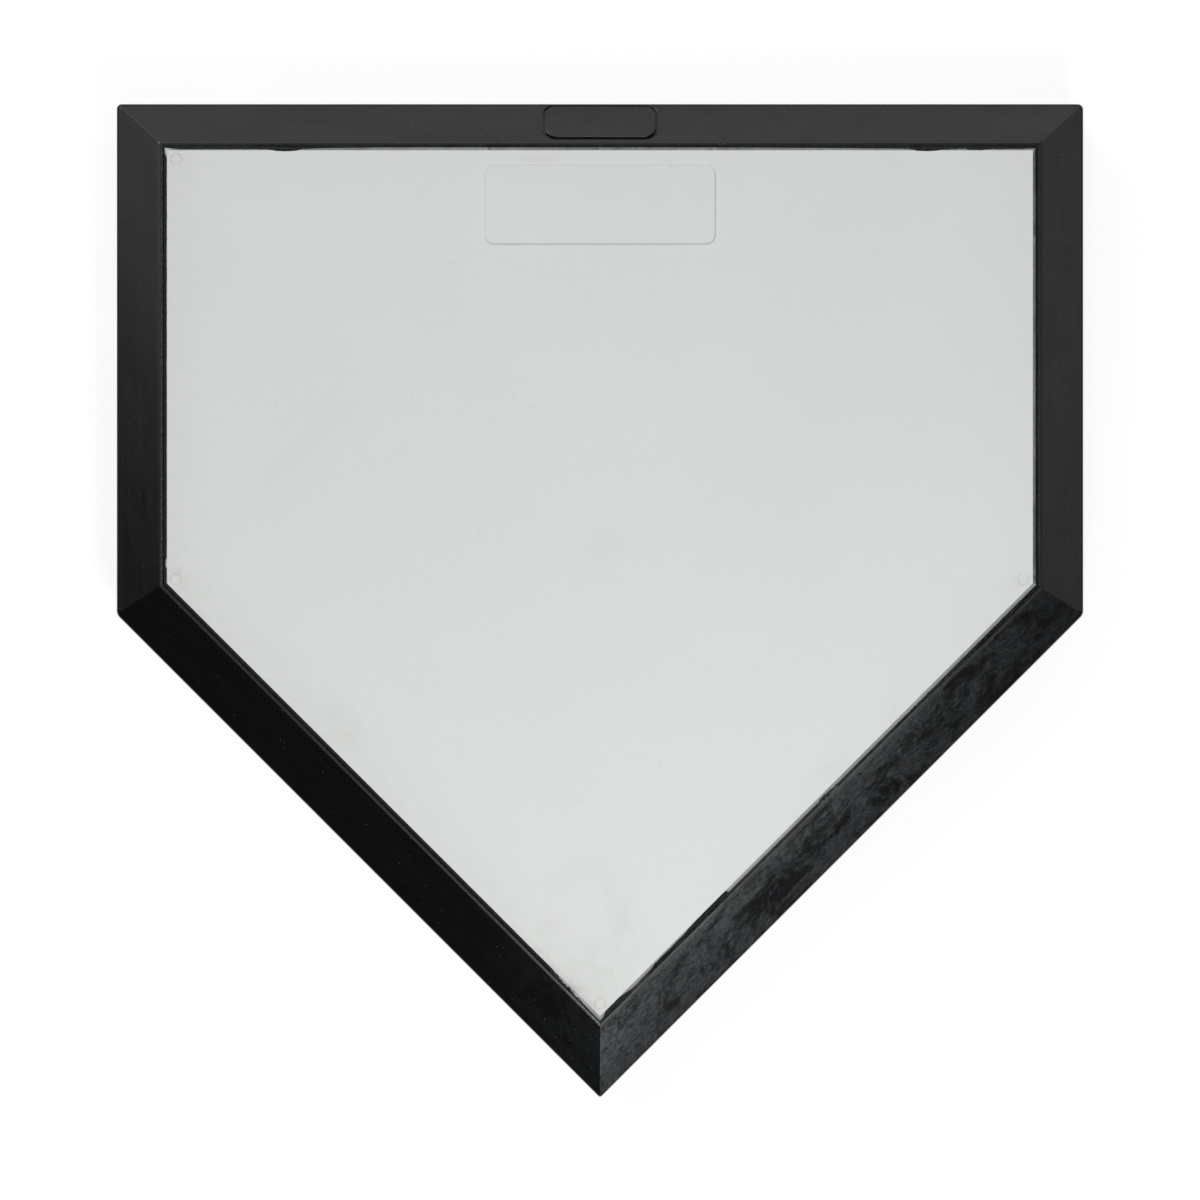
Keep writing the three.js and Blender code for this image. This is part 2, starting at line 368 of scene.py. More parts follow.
def rounded_box_distance(x, y, half_x, half_y, radius):
    """Distance to the edge of a rectangle with round corners: below zero inside, above outside."""
    past_x = np.abs(x) - half_x + radius
    past_y = np.abs(y) - half_y + radius
    outside = np.hypot(np.maximum(past_x, 0), np.maximum(past_y, 0))
    return outside + np.minimum(np.maximum(past_x, past_y), 0) - radius


# %% [markdown]
# ## Materials: colours and nodes
#
# A colour is written as it looks on the screen, in hex, and one function turns it to the linear
# numbers that the shader multiplies with. Every pattern's scale comes from a real size: a noise
# texture draws about one blotch per unit at scale 1, and the unit is a metre here, so a blotch of so
# many millimetres needs the scale 1000 / millimetres.

# %% Colours, scales and one way to add a node
def colour(code):
    """An sRGB hex colour as linear red, green, blue and alpha."""
    shown = np.array([int(code[i:i + 2], 16) for i in (1, 3, 5)]) / 255
    linear = np.where(shown <= 0.04045, shown / 12.92, ((shown + 0.055) / 1.055) ** 2.4)
    return (*linear.tolist(), 1.0)


def scale_for(size):
    """The texture scale that draws blotches of this size in millimetres."""
    return 1 / (size * MM)


def empty_tree(owner):
    """The node tree of a material or a world, with nothing in it."""
    owner.use_nodes = True
    owner.node_tree.nodes.clear()
    return owner.node_tree


def add(tree, kind, settings=None, *values, **sockets):
    """Adds a node. Settings are its own properties. Values go to its inputs in order, and sockets to
    inputs by name, with _ for a space: a number or colour is set there and another node's output is
    linked there. A node stands for its first output."""
    node = tree.nodes.new("ShaderNode" + kind)
    for name, value in (settings or {}).items():
        setattr(node, name, value)
    free = [socket for socket in node.inputs if socket.enabled]
    pairs = list(zip(free, values))
    for name, value in sockets.items():
        pairs.append((next(s for s in free if s.name == name.replace("_", " ")), value))
    for socket, value in pairs:
        if isinstance(value, bpy.types.Node):
            value = next(output for output in value.outputs if output.enabled)
        if isinstance(value, bpy.types.NodeSocket):
            tree.links.new(value, socket)
        else:
            socket.default_value = value
    return node


MIX_COLOUR = {"data_type": "RGBA"}
SMOOTH = {"interpolation_type": "SMOOTHSTEP"}
TIMES = {"operation": "MULTIPLY", "use_clamp": True}
LARGER = {"operation": "MAXIMUM"}
print("white rubber, linear:", [round(v, 3) for v in colour("#dcdedd")])

# %% [markdown]
# ## White rubber
#
# The face is moulded natural rubber, filled with white pigment: matt, a touch green, and never quite
# even. Clouds as wide as a palm come from the mix, a mottle of a millimetre or two from the mould, and
# dark specks are grit in the compound. The specks are cells of a solid pattern: only the few whose
# centre lies close to the surface are cut by it, as a saw cuts the stones in a slab. Stains are laid on
# one by one with a value on the mesh, "soil", so that they sit where grime gathers. The same
# value paints shade into the grooves of the pin marks. A second value is the "film" of black that the
# press smeared over the chamfer, which looks grey-green where it is thin. Each of these is a layer of
# colour, mixed over the ones before it.

# %% White rubber
def white_rubber():
    """Moulded white rubber: matt, nearly even, with grit, and stains and painted shade where
    "soil" says so.
    """
    material = bpy.data.materials.new("white_moulded_rubber")
    tree = empty_tree(material)
    place = add(tree, "TexCoord").outputs["Object"]
    soil, film = (
        add(tree, "Attribute", {"attribute_name": name}).outputs["Fac"] for name in ("soil", "film")
    )
    clouds = add(tree, "TexNoise", Vector=place, Scale=scale_for(75), Detail=3.0, Roughness=0.55)
    mottle = add(tree, "TexNoise", Vector=place, Scale=scale_for(1.8), Detail=2.0)
    blotch = add(tree, "TexNoise", Vector=place, Scale=scale_for(8), Detail=6.0, Roughness=0.72)
    dots = add(tree, "TexVoronoi", Vector=place, Scale=scale_for(5))
    grit = add(tree, "TexVoronoi", Vector=place, Scale=scale_for(9))
    # The mould's own grain is finer than a picture of the plate can show, so it is drawn coarser
    grain = add(tree, "TexNoise", Vector=place, Scale=scale_for(0.7), Detail=2.0)

    cloudy = add(tree, "MapRange", Value=clouds, From_Min=0.3, From_Max=0.7)
    mottled = add(tree, "MapRange", Value=mottle, From_Min=0.35, From_Max=0.75, To_Max=0.08)
    dotted = add(tree, "MapRange", SMOOTH, Value=dots, From_Min=0.04, From_Max=0.11, To_Min=0.1, To_Max=0.0)
    gritty = add(tree, "MapRange", SMOOTH, Value=grit, From_Min=0.02, From_Max=0.04, To_Min=0.45, To_Max=0.0)
    blotchy = add(tree, "MapRange", Value=blotch, From_Min=0.32, From_Max=0.68, To_Min=0.35, To_Max=1.5)
    # The stain layer also paints shade into the grooves of the pin marks
    stained_and_shaded = add(tree, "Math", TIMES, soil, blotchy)
    smeared = add(tree, "MapRange", Value=blotch, From_Min=0.3, From_Max=0.7, To_Min=0.75, To_Max=1.15)
    filmed = add(tree, "Math", TIMES, film, smeared)
    layers = [
        (cloudy, "#dee0df"), (mottled, "#c9ccc9"), (dotted, "#8d7f66"), (gritty, "#6f6e66"),
        (stained_and_shaded, "#8c8a7c"), (filmed, "#545d59"),
    ]
    paint = colour("#dcdedd")
    for share, tint in layers:
        paint = add(tree, "Mix", MIX_COLOUR, Factor=share, A=paint, B=colour(tint))
    matt = add(tree, "MapRange", Value=clouds, From_Min=0.3, From_Max=0.7, To_Min=0.56, To_Max=0.66)
    skin = add(tree, "Bump", Height=grain, Strength=0.35, Distance=0.04 * MM)
    shader = add(tree, "BsdfPrincipled", Base_Color=paint, Roughness=matt, IOR=1.5, Normal=skin)
    add(tree, "OutputMaterial", Surface=shader)
    return material


white_material = white_rubber()
print("made", white_material.name)

# %% [markdown]
# ## Black rubber
#
# The body is rubber filled with carbon black: very dark by itself, and only as grey as what it
# mirrors, because its moulded skin has a satin gloss. Bloom is wax and sulphur that come to the
# surface with age as a thin grey haze. Hands and sleeves wipe it along the sides, so it lies in ragged
# smears and crumbs that are drawn out that way, and it dulls the gloss. Values on the mesh say how much
# "bloom" a place has, how far it was "wiped", how "dull" clean rubber is there and how much its edge is
# "rubbed" lighter. "sweep" is how far along and across the side a point is, for the smears to follow.
# Light specks are dust. The flash is the same rubber, but its torn skin never touched polished steel,
# so it mirrors far less.

# %% Black rubber
def black_rubber(name, mirror):
    """Carbon-black rubber: satin, with grey bloom where "bloom" says so, and rubbed edges. Mirror is
    the shader's specular level, 0.5 for a polished mould."""
    material = bpy.data.materials.new(name)
    tree = empty_tree(material)
    place = add(tree, "TexCoord").outputs["Object"]
    sweep = add(tree, "Attribute", {"attribute_name": "sweep"}).outputs["Vector"]
    bloom, wiped, rubbed, dull = (
        add(tree, "Attribute", {"attribute_name": value}).outputs["Fac"]
        for value in ("bloom", "wiped", "rubbed", "dull")
    )
    drawn_out = add(tree, "Mapping", Vector=sweep, Scale=(0.55, 1.0, 1.0))
    stroked = add(tree, "Mapping", Vector=sweep, Scale=(0.1, 1.0, 1.0))
    slanting = (0, 0, math.radians(18))
    scuffed = add(tree, "Mapping", Vector=sweep, Rotation=slanting, Scale=(0.4, 1.0, 1.0))
    patches = add(
        tree, "TexNoise", Vector=drawn_out, Scale=scale_for(14), Detail=10.0, Roughness=0.76, Distortion=0.5
    )
    wisps = add(
        tree, "TexNoise", Vector=drawn_out, Scale=scale_for(9), Detail=6.0, Roughness=0.65, Distortion=1.4
    )
    crumbs = add(
        tree, "TexNoise", Vector=scuffed, Scale=scale_for(1.5), Detail=5.0, Roughness=0.95, Distortion=0.3
    )
    strokes = add(tree, "TexNoise", Vector=stroked, Scale=scale_for(3), Detail=4.0, Roughness=0.7)
    flecks = add(tree, "TexNoise", Vector=drawn_out, Scale=scale_for(1), Detail=3.0, Roughness=0.7)
    dust = add(tree, "TexVoronoi", Vector=place, Scale=scale_for(5))
    pits = add(tree, "TexVoronoi", Vector=place, Scale=scale_for(6.2))
    # The mould's own grain is finer than a picture of the plate can show, so it is drawn coarser
    grain = add(tree, "TexNoise", Vector=place, Scale=scale_for(1.1), Detail=2.0)

    dark_below = add(tree, "MapRange", Value=wiped, To_Min=0.3, To_Max=0.6)
    light_above = add(tree, "MapRange", Value=wiped, To_Min=0.42, To_Max=0.72)
    patchy = add(
        tree, "MapRange", SMOOTH, Value=patches, From_Min=dark_below, From_Max=light_above, To_Min=0.12
    )
    folded = add(tree, "Math", {"operation": "PINGPONG"}, wisps, 0.5)
    wispy = add(tree, "MapRange", SMOOTH, Value=folded, From_Min=0.42, From_Max=0.5, To_Min=0.75)
    crumbled = add(tree, "MapRange", Value=crumbs, From_Min=0.42, From_Max=0.58, To_Min=0.2, To_Max=1.15)
    unpitted = add(tree, "MapRange", SMOOTH, Value=pits, From_Min=0.06, From_Max=0.1, To_Min=0.2)
    haze = patchy
    for share in (wispy, crumbled, unpitted, bloom):
        haze = add(tree, "Math", TIMES, haze, share)
    flecked = add(tree, "MapRange", SMOOTH, Value=flecks, From_Min=0.46, From_Max=0.68)
    worn = add(tree, "Math", TIMES, flecked, rubbed)
    dusty = add(tree, "MapRange", SMOOTH, Value=dust, From_Min=0.03, From_Max=0.06, To_Min=0.5, To_Max=0.0)
    paint = colour("#060607")
    for share, tint in [(haze, "#5d6365"), (worn, "#7c8183"), (dusty, "#7f8385")]:
        paint = add(tree, "Mix", MIX_COLOUR, Factor=share, A=paint, B=colour(tint))
    streaky = add(tree, "MapRange", Value=strokes, From_Min=0.3, From_Max=0.7, To_Min=0.87, To_Max=1.13)
    clean_gloss = add(tree, "Math", TIMES, streaky, dull)
    gloss = add(tree, "MapRange", Value=haze, To_Min=clean_gloss, To_Max=0.5)
    skin = add(tree, "Bump", Height=grain, Strength=0.25, Distance=0.045 * MM)
    shader = add(
        tree, "BsdfPrincipled", Base_Color=paint, Roughness=gloss, IOR=1.52, Specular_IOR_Level=mirror,
        Normal=skin,
    )
    add(tree, "OutputMaterial", Surface=shader)
    return material


black_material = black_rubber("black_moulded_rubber", 0.5)
flash_material = black_rubber("black_rubber_flash", 0.1)
print("made", black_material.name, "and", flash_material.name)

# %% [markdown]
# ## Treated pine
#
# The boards are sawn pine, soaked under pressure in a copper salt that turns the pale wood olive. A
# board shows the tree's growth rings where the saw crosses them, so the pattern is rings about the
# heart of the log. The mesh gives each board's points measured from its own heart, in "grain", so
# that no two boards are cut alike. Dark late wood ends each ring, and fine fibres run along it.

# %% Treated pine
def treated_pine():
    """Sawn softwood with an olive tint: growth rings about the log's heart, fibres along X."""
    material = bpy.data.materials.new("sawn_treated_pine")
    tree = empty_tree(material)
    heart = add(tree, "Attribute", {"attribute_name": "grain"}).outputs["Vector"]
    drawn_out = add(tree, "Mapping", Vector=heart, Scale=(0.12, 1.0, 1.0))
    stringy = add(tree, "Mapping", Vector=heart, Scale=(0.03, 1.0, 1.0))
    # A wave texture draws about pi rings per unit at scale 1
    rings = add(
        tree, "TexWave", {"wave_type": "RINGS", "rings_direction": "X", "wave_profile": "SAW"},
        Vector=drawn_out, Scale=scale_for(6.5) / math.pi, Distortion=5.0, Detail=3.0, Detail_Scale=0.6,
        Detail_Roughness=0.55,
    )
    fibres = add(tree, "TexNoise", Vector=stringy, Scale=scale_for(1.2), Detail=4.0, Roughness=0.6)
    stain = add(tree, "TexNoise", Vector=drawn_out, Scale=scale_for(45), Detail=2.0)
    late = add(tree, "MapRange", SMOOTH, Value=rings.outputs["Fac"], From_Min=0.45)
    fibrous = add(tree, "MapRange", Value=fibres, From_Min=0.35, From_Max=0.7, To_Max=0.45)
    salted = add(tree, "MapRange", Value=stain, From_Min=0.35, From_Max=0.7, To_Min=0.15, To_Max=0.5)
    paint = colour("#b7a36f")
    for share, tint in [(late, "#8a713f"), (fibrous, "#76653b"), (salted, "#8a8f5c")]:
        paint = add(tree, "Mix", MIX_COLOUR, Factor=share, A=paint, B=colour(tint))
    sawn = add(tree, "Bump", Height=fibres, Strength=0.6, Distance=0.25 * MM)
    shader = add(tree, "BsdfPrincipled", Base_Color=paint, Roughness=0.82, IOR=1.5, Normal=sawn)
    add(tree, "OutputMaterial", Surface=shader)
    return material


pine_material = treated_pine()
print("made", pine_material.name)

# %% [markdown]
# ## Galvanised steel
#
# The nails were dipped in molten zinc, which sets in flat crystals of slightly different grey, the
# spangle, and weathers to a soft sheen. Cells of a few millimetres give the crystals, and a fine noise
# gives the lumps of the dip, which change the gloss a little.

# %% Galvanised steel
def galvanised_steel():
    """Hot-dip zinc: a grey metal whose crystals differ a little in shade, with an uneven gloss."""
    material = bpy.data.materials.new("galvanised_steel")
    tree = empty_tree(material)
    place = add(tree, "TexCoord").outputs["Object"]
    crystals = add(tree, "TexVoronoi", Vector=place, Scale=scale_for(2.2)).outputs["Color"]
    lumps = add(tree, "TexNoise", Vector=place, Scale=scale_for(1.5), Detail=3.0)
    shade = add(tree, "Mix", MIX_COLOUR, Factor=crystals, A=colour("#a3a8ab"), B=colour("#c3c7c9"))
    gloss = add(tree, "MapRange", Value=lumps, From_Min=0.3, From_Max=0.7, To_Min=0.34, To_Max=0.52)
    skin = add(tree, "Bump", Height=lumps, Strength=0.5, Distance=0.08 * MM)
    shader = add(tree, "BsdfPrincipled", Base_Color=shade, Metallic=1.0, Roughness=gloss, Normal=skin)
    add(tree, "OutputMaterial", Surface=shader)
    return material


zinc_material = galvanised_steel()
print("made", zinc_material.name)

# %% [markdown]
# ## The white plate
#
# The plate is a slab whose hidden flange is locked under the black lip. Its top is not a plain
# polygon: it carries a raised panel, the rings that the mould's locating pins left near four corners,
# and a slight unevenness. A grid of points with a height for each can carry all of that. Its lines
# run from side to side and from front to back. They start straight, as the front edge is, and bend
# step by step into the V of the point, so that the grid fits the pentagon with no seam and no pole.
# Lines are packed closer where the panel's edge and the pin marks need them.

# %% The white face as a grid
PANEL_WIDTH = 115.0
PANEL_DEPTH = 39.5
PANEL_CORNER = 5.0
PANEL_SETBACK = 7.2
PIN_MARK_DIAMETER = 5.5
PIN_MARK_INSET = 4.4
EDGE_ROUND = 0.4
STRAIGHT_SHARE = 0.3
# The spacing of the grid's lines, in general and near a detail
ACROSS_SPACING = (2.8, 0.2)
DOWN_SPACING = (2.6, 0.22)

panel_y = plate_front - PANEL_SETBACK - PANEL_DEPTH / 2
pin_marks = even_pentagon(-PIN_MARK_INSET)[1:]
pin_reach = PIN_MARK_DIAMETER / 2 + 1
# The details, each with its place and how far the closer lines reach
across_details = [
    (0, pin_reach), (PANEL_WIDTH / 2 - 2, 3.2), (half_width - PIN_MARK_INSET, pin_reach), (half_width, 0.7)
]
down_details = [
    (0, 0.6), (PIN_MARK_INSET, pin_reach), (PANEL_SETBACK + 2, 3), (PANEL_SETBACK + PANEL_DEPTH - 2, 3),
    (PLATE_SIDE - PIN_MARK_INSET, 5),
]
across_mm = grid_lines(half_width, *ACROSS_SPACING, across_details)
across = np.concatenate((across_mm[::-1], -across_mm[1:])) / half_width
down = grid_lines(PLATE_SIDE, *DOWN_SPACING, down_details) / PLATE_SIDE


def plate_grid(out):
    """Plan of the white face with its edges moved out, as a grid of x and of y.

    x is a share of the half width, the same in every row. y falls evenly from the front edge to the
    shoulders, plus a bend that grows from row to row and is deepest in the middle: at the last row it
    is the V of the slanted edges."""
    front_right, _, _, point, shoulder = even_pentagon(out)
    bend = np.clip((down - STRAIGHT_SHARE) / (1 - STRAIGHT_SHARE), 0, 1)[:, None]
    fall = (front_right[1] - shoulder[1]) * down[:, None]
    y = front_right[1] - fall - bend * (shoulder[1] - point[1]) * (1 - np.abs(across))
    return np.broadcast_to(front_right[0] * across, y.shape), y


print("grid of the white face:", len(down), "rows of", len(across))

# %% The relief of the white face
# The panel is drawn a little higher than its solid, so that its edge shades as the real one's does
PANEL_HEIGHT = 0.8
PANEL_SLOPE = 0.9
PIN_GROOVE_DEPTH = 0.18
PIN_GROOVE_WIDTH = 0.3
PIN_DISC_DEPTH = 0.03
UNEVENNESS = 0.1
EVEN_MARGIN = 12
FACE_WAVES = {"longest": 190, "count": 9}


def off_edges(x, y):
    """Distances in from the front, left, left slant, right slant and right edges."""
    over_point = y - face_corners[3, 1]
    left_slant, right_slant = ((over_point + sign * x * SLANT_RISE) / POINT_SHIFT for sign in (1, -1))
    return plate_front - y, half_width + x, left_slant, right_slant, half_width - x


def off_pin_marks(x, y):
    """Distance from the circle of the nearest pin mark, below zero inside it."""
    to_marks = [np.hypot(x - mark_x, y - mark_y) for mark_x, mark_y in pin_marks]
    return np.min(to_marks, axis=0) - PIN_MARK_DIAMETER / 2


def face_relief(x, y):
    """Height of the white face over its plane.

    The panel is a smooth step across the edge of a rectangle with round corners. Each pin mark is a
    groove along a circle: a bell curve of the distance from that circle, with the disc inside it set
    a little lower. Long waves make the rest uneven."""
    edge = rounded_box_distance(x, y - panel_y, PANEL_WIDTH / 2, PANEL_DEPTH / 2, PANEL_CORNER)
    panel = PANEL_HEIGHT * ease(0.5 - edge / PANEL_SLOPE)
    past = off_pin_marks(x, y)
    marks = PIN_GROOVE_DEPTH * bell(past / PIN_GROOVE_WIDTH) + PIN_DISC_DEPTH * ease(-past)
    inside = ease(np.min(off_edges(x, y), axis=0) / EVEN_MARGIN)
    return panel - marks + UNEVENNESS * inside * waves(x, y, **FACE_WAVES)


top_x, top_y = plate_grid(-EDGE_ROUND)
top_z = plate_top + face_relief(top_x, top_y)
print(f"relief from {top_z.min() - plate_top:.2f} to {top_z.max() - plate_top:.2f} mm")

# %% [markdown]
# Below the face, the plate is a profile carried round its edge: the rounded arris, the chamfer that
# the black lip meets, the neck, and the flange. Each ring is the border of the same grid, moved out,
# so that every ring has a point for each border point of the face and nothing has to be stitched.

# %% The white plate's piece
flange_top = web_top + FLANGE_THICKNESS - plate_top
# Stops of the profile: how far out from the face's edge, and how far up from the face
EDGE_STOPS = [
    (-0.15, -0.03), (0.06, -0.12), (0.24, -0.3), (1.0, -1.25), (CHAMFER_RUN, -CHAMFER_DROP),
    (CHAMFER_RUN, flange_top), (FLANGE_REACH, flange_top), (FLANGE_REACH, web_top - plate_top),
]


def border(grid):
    """The border of a grid as one closed ring: along the first row, down the last column, back along
    the last row and up the first column."""
    return np.concatenate((grid[0], grid[1:, -1], grid[-1, -2::-1], grid[-2:0:-1, 0]))


top = np.stack((top_x, top_y, top_z), axis=-1)
top_index = grid_index(top)
edge_rings = np.stack(
    [
        level(np.column_stack([border(part) for part in plate_grid(out)]), plate_top + up)
        for out, up in EDGE_STOPS
    ]
)
ring_size = edge_rings.shape[1]
ring_index = top_index.size + grid_index(edge_rings)
side_index = np.vstack((border(top_index), ring_index))
white_points = np.concatenate((top.reshape(-1, 3), edge_rings.reshape(-1, 3)))
white_faces = grid_faces(top_index, closed=False) + grid_faces(side_index[::-1], closed=True)
white_faces.append(ring_index[-1][::-1].tolist())
white_plate = make_piece("white_rubber_plate", white_points, white_faces)

# %% [markdown]
# Stains and painted shade are a value on each point. Faint stains lie where they were rubbed in: above
# the panel, near the middle and towards the point. The grooves of the pin marks are darkened by the same
# value, as painted shade. The white is darker along the rim too, most on the two left sides. The film
# on the chamfer is a second value, set side by side, because the press smeared more black over some
# sides than others.

# %% Stains and painted shade on the white plate
# Each stain: its middle from the centre of the object, its size along and across, the direction that
# it runs in, in degrees, and how strong it is
STAINS = [
    (-31, 219.5, 8, 1.6, 0, 0.12),
    (33, 218.6, 4, 1.2, 0, 0.08),
    (-150, 74, 38, 8, 42, 0.035),
    (2, 27, 12, 7, 20, 0.06),
    (-22, -140, 8, 7, 0, 0.045),
    (-7, -135, 10, 6, 10, 0.05),
    (8, -148, 15, 6, -60, 0.06),
    (11, -163, 9, 7, 90, 0.05),
    (-24, -162, 9, 6, 30, 0.06),
    (-127, -62, 12, 8, -45, 0.07),
    (147, -57, 9, 6, 45, 0.05),
    (115, -85, 9, 6, 45, 0.05),
    (0, -184, 20, 18, 0, 0.08),
    (-11, -195.6, 14, 1.6, -45, 0.2),
    (-13, -191.5, 16, 4.5, -45, 0.06),
    (-30, -176, 14, 2, -45, 0.1),
    (210, 9, 5, 3, 0, 0.1),
]
# How dark the grooves of the pin marks are made: painted shade
PIN_GROOVE_SHADE = 0.22
# Darkening along the rim: front, left, left slant, right slant, right, and how far in it reaches
RIM_DARKENING = [0.02, 0.07, 0.08, 0.025, 0.015]
RIM_REACH = 16.0
# The film on the chamfer, in the same order, how much it changes by chance and over how many points, and
# how many stops at the top of the profile have none
CHAMFER_FILM = np.array([0.78, 0.6, 0.6, 0.45, 0.88])
FILM_CHANGE = 0.2
FILM_PATCH = 8.5
CLEAN_STOPS = 2
# Where the chamfer is bare: the middle of the place, and how far it reaches; and how bare it is
BARE_CHAMFER = [(-12, -196, 14), (-216, 224, 3), (-216, 18, 4)]
BARENESS = 0.9


def stains_and_shade(x, y):
    """The sum of soft oval stains, each a bell curve of the distance in its own sizes, of the painted shade
    in each pin mark's groove, and of the darkening along the rim, which falls off by a bell curve from
    each edge."""
    total = PIN_GROOVE_SHADE * bell(off_pin_marks(x, y) / PIN_GROOVE_WIDTH)
    for mid_x, mid_y, long, wide, direction, strength in STAINS:
        cos, sin = math.cos(math.radians(direction)), math.sin(math.radians(direction))
        along = (x - mid_x) * cos + (y - mid_y) * sin
        aside = (y - mid_y) * cos - (x - mid_x) * sin
        total += strength * bell(along / long, aside / wide)
    for strength, off_edge in zip(RIM_DARKENING, off_edges(x, y)):
        total += strength * bell(off_edge / RIM_REACH)
    return total


row_count, column_count = top_x.shape
left_half = column_count // 2
side_counts = [column_count, row_count - 1, left_half, column_count - 1 - left_half, row_count - 2]
ring_film = np.repeat(CHAMFER_FILM, side_counts)
ring_film *= 1 + FILM_CHANGE * wander(np.arange(ring_size), FILM_PATCH)
for bare_x, bare_y, bare_reach in BARE_CHAMFER:
    off_bare = np.hypot(border(top_x) - bare_x, border(top_y) - bare_y)
    ring_film *= 1 - BARENESS * bell(off_bare / bare_reach)
film = np.zeros(len(white_points))
film[top_index.size + CLEAN_STOPS * ring_size:] = np.tile(ring_film, len(EDGE_STOPS) - CLEAN_STOPS)
# The first value holds the stains, the painted shade in the pin marks' grooves and the darker rim
add_values(white_plate, soil=stains_and_shade(white_points[:, 0], white_points[:, 1]), film=film)
finish_piece(white_plate, white_material, "white_rubber", "white_plate")

# %% [markdown]
# ## The nails' places
#
# The body and the nails have to agree on where the nails are, so both read it from the frame. The
# corners of a CAD nail that lie furthest out of its wall are the rim of its head, and the middle of
# their box is the middle of the head.

# %% Where the nails are
WALL_NORMALS = {
    "front": (0, 1),
    "left": (-1, 0),
    "right": (1, 0),
    "left_slant": (-SLANT_RISE / POINT_SHIFT, -1 / POINT_SHIFT),
    "right_slant": (SLANT_RISE / POINT_SHIFT, -1 / POINT_SHIFT),
}


def nail_place(node, outward):
    """Middle of a nail's head: the middle of the node's corners that lie furthest along outward."""
    mesh = frame["nodes"][node].data
    corners = np.empty(len(mesh.vertices) * 3)
    mesh.vertices.foreach_get("co", corners)
    corners = corners.reshape(-1, 3) / MM
    reach = corners[:, :2] @ outward
    rim = corners[reach > reach.max() - FIT_GAP]
    return (rim.min(0) + rim.max(0)) / 2


nails = []
for node in sorted(frame["nodes"]):
    wall, found, _ = node.partition("_nail_")
    if found:
        outward = np.array(WALL_NORMALS[wall])
        nails.append((node, nail_place(node, outward), outward))
print(len(nails), "nails, the first at", nails[0][1].round(1).tolist())

# %% [markdown]
# ## The black body
#
# The body is one moulding, so it is one profile carried once round the pentagon: from the ceiling of
# the hollow down its wall, under the skirt, up the outside, over the bevel and the lip, and down into
# the pocket of the white plate. A real moulding has no sharp edges, so the profile turns each corner
# in a few small steps. The bevel is a blend of two rings, the outer edge and the lip, because the
# border isn't equally wide on all sides.

# %% Points along the edges of the body
# The spacing of the points in general and near a detail, and how far the closer ones reach
BODY_SPACING = (3.5, 0.25)
CORNER_REACH = 0.6
PAD_END_REACH = 5.5
MITRE_SUPPORT = 0.05
PAD_WIDTH = 56.4

body_edges = np.linalg.norm(edges_of(body_pentagon(0)), axis=1)
pad_ends = body_edges[0] / 2 + (PAD_WIDTH / 2 - 1) * np.array([-1, 1])
body_shares = []
for length, ends in zip(body_edges, [pad_ends, [], [], [], []]):
    details = [(0, CORNER_REACH), (length, CORNER_REACH), *((end, PAD_END_REACH) for end in ends)]
    places = grid_lines(length, *BODY_SPACING, details)
    places[[0, -1]] = MITRE_SUPPORT, length - MITRE_SUPPORT
    body_shares.append(places / length)
print("points round the body:", sum(map(len, body_shares)) + 5 * CORNER_STEPS)

# %% The rings of the body
# The outer corners, rounder where the sides meet at a wide angle and sharpest at the point: from the
# front right to the right shoulder, counter-clockwise
BODY_CORNER = np.array([2.8, 2.4, 4.8, 1.3, 4.8])
# How round the mitres are higher up the bevel, and the share of it that the change takes
MITRE_ROUND = np.array([0.06, 0.06, 0.06, 0.35, 0.06])
MITRE_SHARE = 0.15
LIP_CORNER = 0.6
MOUTH_CORNER = 0.8
RIGHT_LIP = 0.35


def body_ring(wall, radius):
    """The ring at a wall's thickness inside the outer edge."""
    return rounded_ring(body_pentagon(wall), radius, body_shares)


def lip_pentagon(out):
    """The pentagon at a stop of the lip, which spread more on the right slant."""
    return pentagon(out, out, out, RIGHT_LIP * ease((out - lip_inner) / LIP_WIDTH))


def lip_ring(out, radius):
    """The ring at a stop of the lip."""
    return rounded_ring(lip_pentagon(out), radius, body_shares)


def bevel_ring(share):
    """The ring part of the way up the bevel: the outer pentagon blended into the lip's. Its corners are
    round at the outer edge and soon sharpen to a mitre."""
    corners = (1 - share) * body_pentagon(0) + share * lip_pentagon(lip_outer)
    radius = np.maximum(MITRE_ROUND, BODY_CORNER * (1 - share / MITRE_SHARE))
    return rounded_ring(corners, radius, body_shares)


print("point of the lip's outer edge:", lip_pentagon(lip_outer)[3].round(2).tolist())

# %% The profile of the body
FOOT_ROUND = 1.5
FOOT_STEPS = 5
SKIRT_STEPS = 15
BEVEL_EDGE_ROUND = 1.4
BEVEL_SPACING = (0.7, 0.2)
BEVEL_EDGE_STEPS = 9
PAD_MARGIN = 1.8
# The closer rows lie round lines just outside the pad, and this far to both sides of them
PAD_RIM_OUT = 0.3
PAD_RIM_REACH = 2.2
# Across the lip, from the bevel inwards: a faint bead, the last of the slope, then level to the mouth.
# Stops as distances in from the outer edge or out from the inner one, and heights over the bevel
LIP_OUTER_STOPS = [
    (0.12, 0.08), (0.3, 0.12), (0.5, 0.17), (0.75, 0.27), (0.95, 0.38), (1.1, 0.46), (1.3, 0.51),
    (1.8, 0.53), (2.3, 0.54),
]
LIP_INNER_STOPS = [(0.35, 0.54), (0.18, 0.5), (0.06, 0.42), (0, 0.2)]
lip_stops = [(lip_outer - inwards, up) for inwards, up in LIP_OUTER_STOPS]
lip_stops += [(lip_inner + outwards, up) for outwards, up in LIP_INNER_STOPS]

